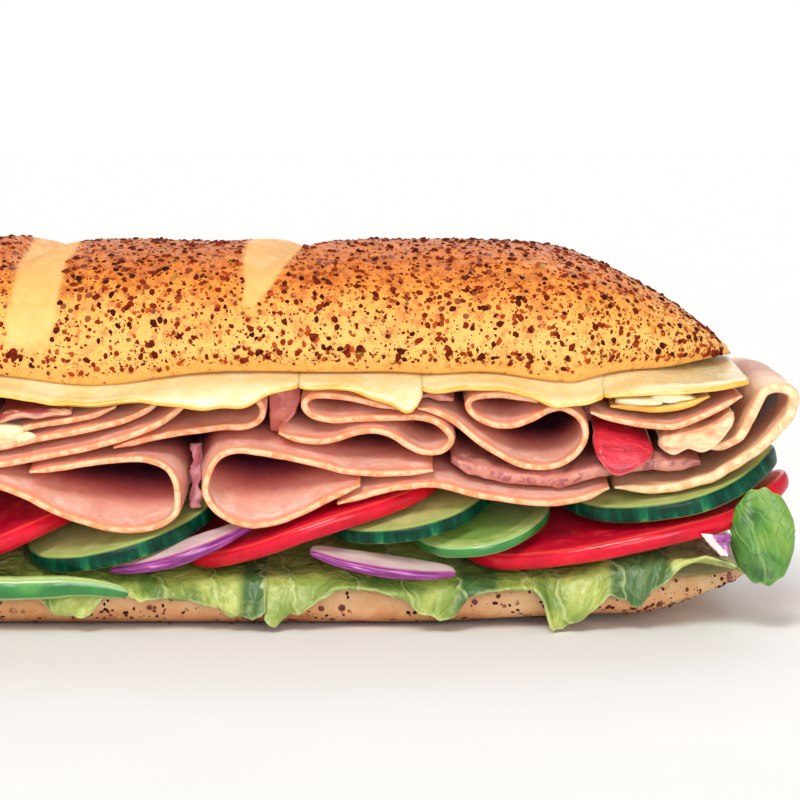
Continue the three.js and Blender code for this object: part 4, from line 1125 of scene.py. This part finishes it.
def add_cheese():
    paint = cheese_paint()
    sheets = {
        1: [
            (-30, 1, 1), (-22, 1.4, 3), (-13, 1, 3.4), (-5, 0.6, 3.2), (4, 0.7, 4), (14, 0.9, 4), (23, 2.6, 3),
            (32, 4.3, 2.6), (40, 4, 3.4), (46, 1.8, 3), (51.8, 0.4, 0.8),
        ],
        2: [
            (52.8, 0.3, 0.5), (58, 0.5, 3), (64, 1, 3.4), (69, 2.3, 2.6),
            (74, 3.4, 2), (78.4, 4.6, 1), (80.6, 1, 0.5),
        ],
        3: [
            (81.5, 0.4, 0.6), (87, 0.5, 2), (95, 0.5, 3), (101, 0.4, 1),
            (106, 0.5, 0.7), (112, 1.8, 1.6), (117, 1.4, 2), (122.4, 0.5, 0.6),
        ],
        4: [
            (123.3, 0.5, 0.5, -0.3), (130, 1.6, 1.8), (137, 1.6, 2), (143, 1.2, 1.6), (148, 0.9, 1.4, 0.2),
            (152, 0.7, 1.2, 0.7), (156, 0.6, 0.8, 1.4),
        ],
        6: [
            (-90, 0.5, 0.8), (-82, 2.6, 3.4), (-73, 4.6, 4.4), (-64, 5, 3),
            (-54, 3.4, 1.6), (-46, 2, 2.6), (-38, 1, 2), (-30.9, 0.5, 0.6),
        ],
        7: [
            (-157, 0.7, 0.8, 1.4), (-152, 0.8, 1.2, 0.7), (-147, 1.4, 1.6, 0.2), (-139, 3, 2.4),
            (-129, 4.4, 1.6), (-119, 2.8, 2.8), (-108, 1.2, 4), (-99, 2, 2.4), (-90.9, 0.5, 0.6),
        ],
    }
    for n, rows in sheets.items():
        full = [(x, CHEESE_Z + (more[0] if more else 0), front, back) for x, front, back, *more in rows]
        body = drape(full, CHEESE, seed=10 * n, wave=0.4, corner=1.2, reach_on=0.5, end_share=0.9)
        stand_in("cheese", n, body, paint)
    wedge = [(124.5, 52.2), (129, 51.9), (136, 51.9), (142.5, 53.3), (147.5, 55.2)]
    stand_in("cheese", 5, folded(wedge, CHEESE, 40, 40, 1, ragged=0.2, seed=50, step=0.8), paint)


def level(x, y):
    """No sag, for a drape that hangs among the meat."""
    return 0


def add_meat():
    ham_paint = meat_paint("ham")
    purse = close_towards((-10, 34.8), (24, 32))
    loop = close_towards((30.5, 40.4), (66.8, 38))
    bulges = {5: lambda x: 3 * smooth(14, 23, x), 6: lambda x: 2.5 * smooth(32, 41, x) - 2.5}
    left = -66
    hams = [
        (FOLDS["low"], 40.3, 40, -1.5),
        (FOLDS["middle"], 38.8, 38.8, -1.2),
        (FOLDS["high"], 38.6, 38.6, -1),
        (FOLDS["tuck"], 38.4, 38.8),
        (FOLDS["purse"], 42.5, 42, 1.6, purse),
        (FOLDS["loop"], 43, 41.5, 1, loop),
        (FOLDS["long"], 42.5, 42),
        (FOLDS["hairpin"], 39.2, 39),
        (FOLDS["swan"], 39.4, 39.4, 0.4),
        (FOLDS["smile"], 41, 41),
        (moved(FOLDS["low"][3:], left - 2), 39.6, 39.6, -0.8),
        (moved(FOLDS["tuck"], left), 38.6, 38.4),
        (moved(FOLDS["purse"], left), 42, 42.5, 1.2, lambda x, z: purse(x - left, z)),
        (mirrored(FOLDS["swan"]), 39.4, 39.4, 0.4),
        (mirrored(FOLDS["smile"]), 40.5, 40.5),
        ([(-78, 48.4), (-72, 46.8), (-64, 47.6), (-57, 50.2), (-51.5, 53.4)], 39, 39),
    ]
    for n, (knots, *fold) in enumerate(hams, 1):
        body = folded(knots, HAM, *fold, bulge=bulges.get(n), seed=20 * n, ragged=0.25)
        stand_in("ham", n, body, ham_paint)
    turkey_paint = meat_paint("turkey")
    for n, knots in ((1, FOLDS["curl"]), (3, mirrored(FOLDS["curl"]))):
        body = folded(knots, 2.6, 40, 40, taper=0.35, seed=400 + 20 * n, ragged=1.1, rough=0.45, step=0.7)
        stand_in("turkey", n, body, turkey_paint)
    torn = [
        (136.2, 44.3, 1, 1), (139, 45.4, 3.4, 2), (142.5, 46.4, 3, 3),
        (146, 47.2, 4.2, 2), (149.5, 48.8, 3.4, 1), (153.2, 51.6, 1, 1),
    ]
    body = drape(torn, 2, 5.2, level, seed=731, step=0.35, wave=0.9, edge_share=0.6, corner=1.5)
    stand_in("turkey", 2, body, torn_paint())
    gaps = [
        ([(58, 45.1, 52.3), (54, 45.2, 52.2), (50, 45.2, 51), (46, 45.4, 47.6)], -30),
        ([(56.5, 117.6, 122), (52, 117.8, 122), (48, 118, 121.5)], -26),
    ]
    scraps = join([scrap(rows, y, 1, 0.1, seed=60 + k) for k, (rows, y) in enumerate(gaps)])
    make("ham_scraps", scraps, meat_paint("ham_scraps"))
    shreds = [(43.5, 27.2, 28.6), (39.5, 26.6, 29.2), (35, 26.4, 28.4), (31, 26.2, 28.8), (28.2, 26.6, 28.8)]
    stand_in("turkey", 4, scrap(shreds, -33, 1, 0.8, seed=9), meat_paint("shreds"))
    roast_paint = meat_paint("roast")
    layers = [
        (88, 38.9), (92, 37.2), (97, 35.6), (104, 34.5), (113.5, 34.5), (123, 36.9), (132, 38.4), (139.5, 38.8),
        (146, 39.4),
    ]
    lump = [(81, 53.6), (85.5, 53.4), (88.6, 52.6)]
    left_layers = [(-78, 40.9), (-83, 40.5)] + mirrored(layers)
    roasts = [(layers, 3.2, 39.5, 39.5), (lump, 2.2, 38, 38, 0.1), (left_layers, 3.2, 40, 39.5)]
    for n, fold in enumerate(roasts, 1):
        body = folded(*fold, seed=600 + 20 * n, ragged=1, rough=0.45, step=0.7)
        stand_in("roast", n, body, roast_paint)
    streaky = [
        (-17, 49, 1.2, 1), (-12, 50, 0.4, 0.6), (-8, 50.2, 1, 0.2), (-4, 50.4, 0.3, 0.8),
        (-0.6, 50.7, 0.6, 0.4),
    ]
    red = [
        (120.9, 45.4, 1.5, 1), (122.5, 45.6, 5, 2), (125.5, 45.2, 7.6, 2),
        (128.5, 44.6, 6.6, 1), (131.5, 43.6, 4, 1), (134.6, 42.3, 0.8, 0.6),
    ]
    body = drape(streaky, 2, 2, level, seed=701, step=0.5, wave=0.3, edge_share=0.8)
    stand_in("bacon", 1, body, bacon_paint("bacon", "#b04a44", "#7c2c30", "#f0b890", 0.6))
    body = drape(red, 2, 5.2, level, seed=711, step=0.3, wave=1.1, edge_share=0.55, corner=1.5)
    stand_in("bacon", 2, body, bacon_paint("red_bacon", "#e22a3e", "#b00c30", "#f2807a", 0.66))


def add_vegetables():
    shingle = [(-66, 13.4), (-40, 15.8), (-20, 19.8), (-6.5, 23.4), (0.5, 24.2)]
    under = [(-12.5, 13.4), (9.5, 18.3), (31.5, 23.6)]
    steep = [(24, 13.2), (30, 14.2), (41.6, 18.8), (54, 23.8), (65, 26.9), (76, 28.8), (85, 29.9)]
    mid = [(58, 20), (77.5, 23.6), (97, 26.4)]
    wide = [
        (90.5, 13.7), (99.8, 14.4), (113.7, 17.4), (128.8, 20.6), (141.6, 23.3), (153.3, 26.3), (162.6, 30.6),
        (167.5, 33.4),
    ]
    end = [(114, 26), (123, 26.5), (134.6, 28.1), (146, 30.4), (155.6, 34.2), (162.6, 38.2), (165, 39.6)]
    far = moved(mirrored(wide), 5)
    tomato, cucumber = tomato_paint(), cucumber_paint()
    tomatoes = [
        (shingle, -1), (steep, -1), (wide, -1), (far, -1), (moved(steep, -1), 1), (wide, 1), (far, 1),
        (moved(shingle, 2), 1),
    ]
    for n, (knots, side) in enumerate(tomatoes, 1):
        stand_in("tomato", n, disc(sorted(knots), 4.6, side, seed=800 + 7 * n), tomato)
    cucumbers = [
        (under, -1, 4.2), (mid, -1, 3.7), (end, -1, 4.2), (mirrored(end), -1, 4.2), (moved(under, -1), 1, 4.2),
        (end, 1, 4.2), (mirrored(end), 1, 4.2), ([(-102, 20.4), (-81, 18.7), (-60, 19)], -1, 4.2),
    ]
    for n, (knots, side, thick) in enumerate(cucumbers, 1):
        stand_in("cucumber", n, disc(sorted(knots), thick, side, seed=900 + 7 * n, bulge=0.1), cucumber)
    pepper = pepper_paint()
    stand_in("pepper", 1, disc([(78.4, 17.6), (95, 20), (111, 22.6)], 2.9, seed=990), pepper)
    stick = [(-40, 11.1), (-28, 11.6), (-12, 11.9), (2, 11.9), (9, 11), (13, 10.2)]
    stand_in("pepper", 2, strip(stick, 5.6, 45.2, 2.4, 0.1, 0.7, seed=991), pepper)
    onion = onion_paint()
    arcs = [
        ([(8, 13.4), (16, 15.4), (25, 18.1), (33, 21), (42, 24.2)], 3.2, 45, 9, 6, 0.75),
        ([(55, 18.4), (62, 16.6), (70, 15.2), (79, 14.2), (88.5, 13.6)], 2.6, 44.6, 9, 3, 0.7),
    ]
    for n, (knots, *sizes) in enumerate(arcs, 1):
        stand_in("onion", n, strip(knots, *sizes, seed=980 + 3 * n), onion)
    tip = [(23.4, 145.8, 152.4), (21.8, 147, 152.4), (20, 148.8, 152), (18.4, 150.4, 151.6)]
    stand_in("onion", 3, scrap(tip, -43.9, 1.1, seed=7), onion_tip_paint())


def add_lettuce():
    rows = [
        [
            (-152, 2, 3), (-146, 5, 6), (-140, 7, 4), (-134, 4.5, 3), (-128, 6, 6.5), (-121, 8, 7.5),
            (-114, 2, 4), (-106, 6, 8), (-99, 7.5, 7), (-92, 4, 3), (-85, 6, 5.5), (-78, 8.5, 8),
            (-70, 1.5, 2), (-62, 6.5, 5), (-54, 4, 8), (-46, 7, 6), (-38, 2, 3), (-30, 6.5, 5), (-22, 5, 8),
            (-14.2, 1, 2),
        ],
        [
            (-13.2, 0.6, 2), (-8, 2, 5), (-4.5, 6.4, 6), (-0.5, 6.8, 7.5), (4, 5.4, 5), (7.5, 1.4, 4),
            (13.7, 2.6, 5), (24, 2.8, 7.5), (30, 4.2, 6.5), (37, 6.7, 5), (41.5, 7.8, 4), (44.2, 5, 3),
        ],
        [
            (45, 7, 4), (47, 9.6, 6), (49, 8, 8.5), (53, 6, 7), (57.5, 2.6, 5), (62, 0.6, 3.5),
            (70.5, 0.4, 2.5), (76.5, 3, 5), (80.5, 6, 7.5), (85, 7.2, 8.6), (88.6, 6.3, 6), (91.5, 2.2, 4.5),
            (96, 0.6, 3), (106, 0.6, 3),
        ],
        [
            (107, 0.6, 2.5), (109, 3, 4), (111, 8.8, 5), (113.4, 9.6, 7), (116.4, 8, 8, 1),
            (120.5, 6.6, 6.5, 2.5), (124, 1.6, 5, 4), (128, 3.4, 2.6, 5), (131.5, 4.4, 4.5, 5.5),
            (135, 0.6, 6, 5.5), (141, -4.6, 5, 5.6), (147, -7, 4, 5.4), (153, -5.6, 3, 4.4),
            (158.5, -2, 1, 2.5),
        ],
    ]
    pale = lettuce_paint("lettuce", "#b8c268", "#93a54a", "#5c7a30", "#ccd690", ribs=0.4)
    green = lettuce_paint("round_leaf", "#7ca040", "#578a30", "#2f5c26", "#90b456", ribs=0.3, wrinkle=0.15)
    for n, part in enumerate(rows, 1):
        stand_in("lettuce", n, leaf(part, seed=1000 + 11 * n), pale)
    stand_in("lettuce", 5, round_leaf(160.4, -42.8, 22.7, 7.3, 11), green)


def blob(centre, size, seed):
    """A soft lump of sauce."""
    around = np.linspace(0, 2 * np.pi, 36, endpoint=False)
    down = np.linspace(0.02, np.pi - 0.02, 22)
    u, v = np.meshgrid(down, around, indexing="ij")
    ball = points(np.sin(u) * np.cos(v), np.sin(u) * np.sin(v), np.cos(u))
    ring = np.array(centre) + ball * size * (1 + 0.3 * noise(ball * 10, 7, seed)[..., None])
    return *capped(ring), {}


def add_sauce():
    lumps = [
        ((-15.5, -37.6, 45.8), (4.6, 3.2, 2.4), 1), ((-11.5, -37.9, 44.9), (2.6, 2.4, 1.4), 2),
        ((131.5, -38.4, 54.2), (6, 3, 1.3), 3), ((139, -38.4, 55), (5.5, 3, 1.3), 4),
        ((-134, -38, 54.4), (3.8, 3.2, 1.6), 6), ((-140, 37.6, 54.6), (3.2, 3, 1.4), 7),
        ((134, 37.8, 54.4), (3.6, 3, 1.5), 8),
    ]
    make("mayonnaise", join([blob(c, np.array(s), 40 + k) for c, s, k in lumps]), sauce_paint())


# In metres: the floor's corners, the camera's place and the lights. Each light has its place, strength, width in
# degrees and tint.
FLOOR = (-9, -6, 0), (9, -6, 0), (9, 40, 0), (-9, 40, 0)
CAMERA_TARGET, CAMERA_AWAY, CAMERA_TILT = (0.0759, -0.0324, 0.0535), 0.662, 5
CAMERA_LENS, CAMERA_SENSOR = 127.7, 36
LIGHTS = {
    "key": ((-0.5, -1.6, 1.7), 1.7, 22, (1, 0.98, 0.95)),
    "fill": ((0.3, -2, 0.35), 1.25, 30, (1, 0.98, 0.96)),
    "rim": ((0.3, 1.6, 1.4), 0.7, 40, (1, 1, 1)),
}


def add_stage():
    floor = bpy.data.meshes.new("floor")
    floor.from_pydata(FLOOR, [], [(0, 1, 2, 3)])
    board = bpy.data.objects.new("floor", floor)
    bpy.context.scene.collection.objects.link(board)
    k = Paint("floor", roughness=0.9, specular=0.1)
    grain = k.noise(60, 2)
    floor.materials.append(k.finish(k.ramp(grain, (0.3, "#f6f6f5"), (0.7, "#f9f9f8"))))

    for name, (place, strength, width, tint) in LIGHTS.items():
        lamp = bpy.data.lights.new(name, "SUN")
        lamp.angle, lamp.energy, lamp.color = math.radians(width), strength, tint
        made = bpy.data.objects.new(name, lamp)
        made.location = place
        made.rotation_euler = (-Vector(place)).to_track_quat("-Z", "Y").to_euler()
        bpy.context.scene.collection.objects.link(made)

    world = bpy.data.worlds.new("studio")
    world.use_nodes = True
    nodes, links = world.node_tree.nodes, world.node_tree.links
    towards = nodes.new("ShaderNodeTexCoord").outputs["Generated"]
    split = nodes.new("ShaderNodeSeparateXYZ")
    links.new(towards, split.inputs[0])
    fade = nodes.new("ShaderNodeMapRange")
    for key, value in {"From Min": 0.12, "From Max": 0.45, "To Min": 1.0, "To Max": 0.42}.items():
        fade.inputs[key].default_value = value
    links.new(split.outputs["Z"], fade.inputs["Value"])
    links.new(fade.outputs[0], nodes["Background"].inputs["Strength"])
    nodes["Background"].inputs["Color"].default_value = (1, 1, 1, 1)
    bpy.context.scene.world = world


def add_camera():
    tilt = math.radians(CAMERA_TILT)
    lens = bpy.data.cameras.new("camera")
    lens.lens, lens.sensor_width = CAMERA_LENS, CAMERA_SENSOR
    camera = bpy.data.objects.new("camera", lens)
    camera.location = Vector(CAMERA_TARGET) + CAMERA_AWAY * Vector((0, -math.cos(tilt), math.sin(tilt)))
    camera.rotation_euler = (math.pi / 2 - tilt, 0, 0)
    bpy.context.scene.collection.objects.link(camera)
    bpy.context.scene.camera = camera


add_bread()
add_seasoning()
add_cheese()
add_meat()
add_vegetables()
add_lettuce()
add_sauce()
add_stage()
add_camera()
bpy.context.scene.view_settings.view_transform = "Standard"
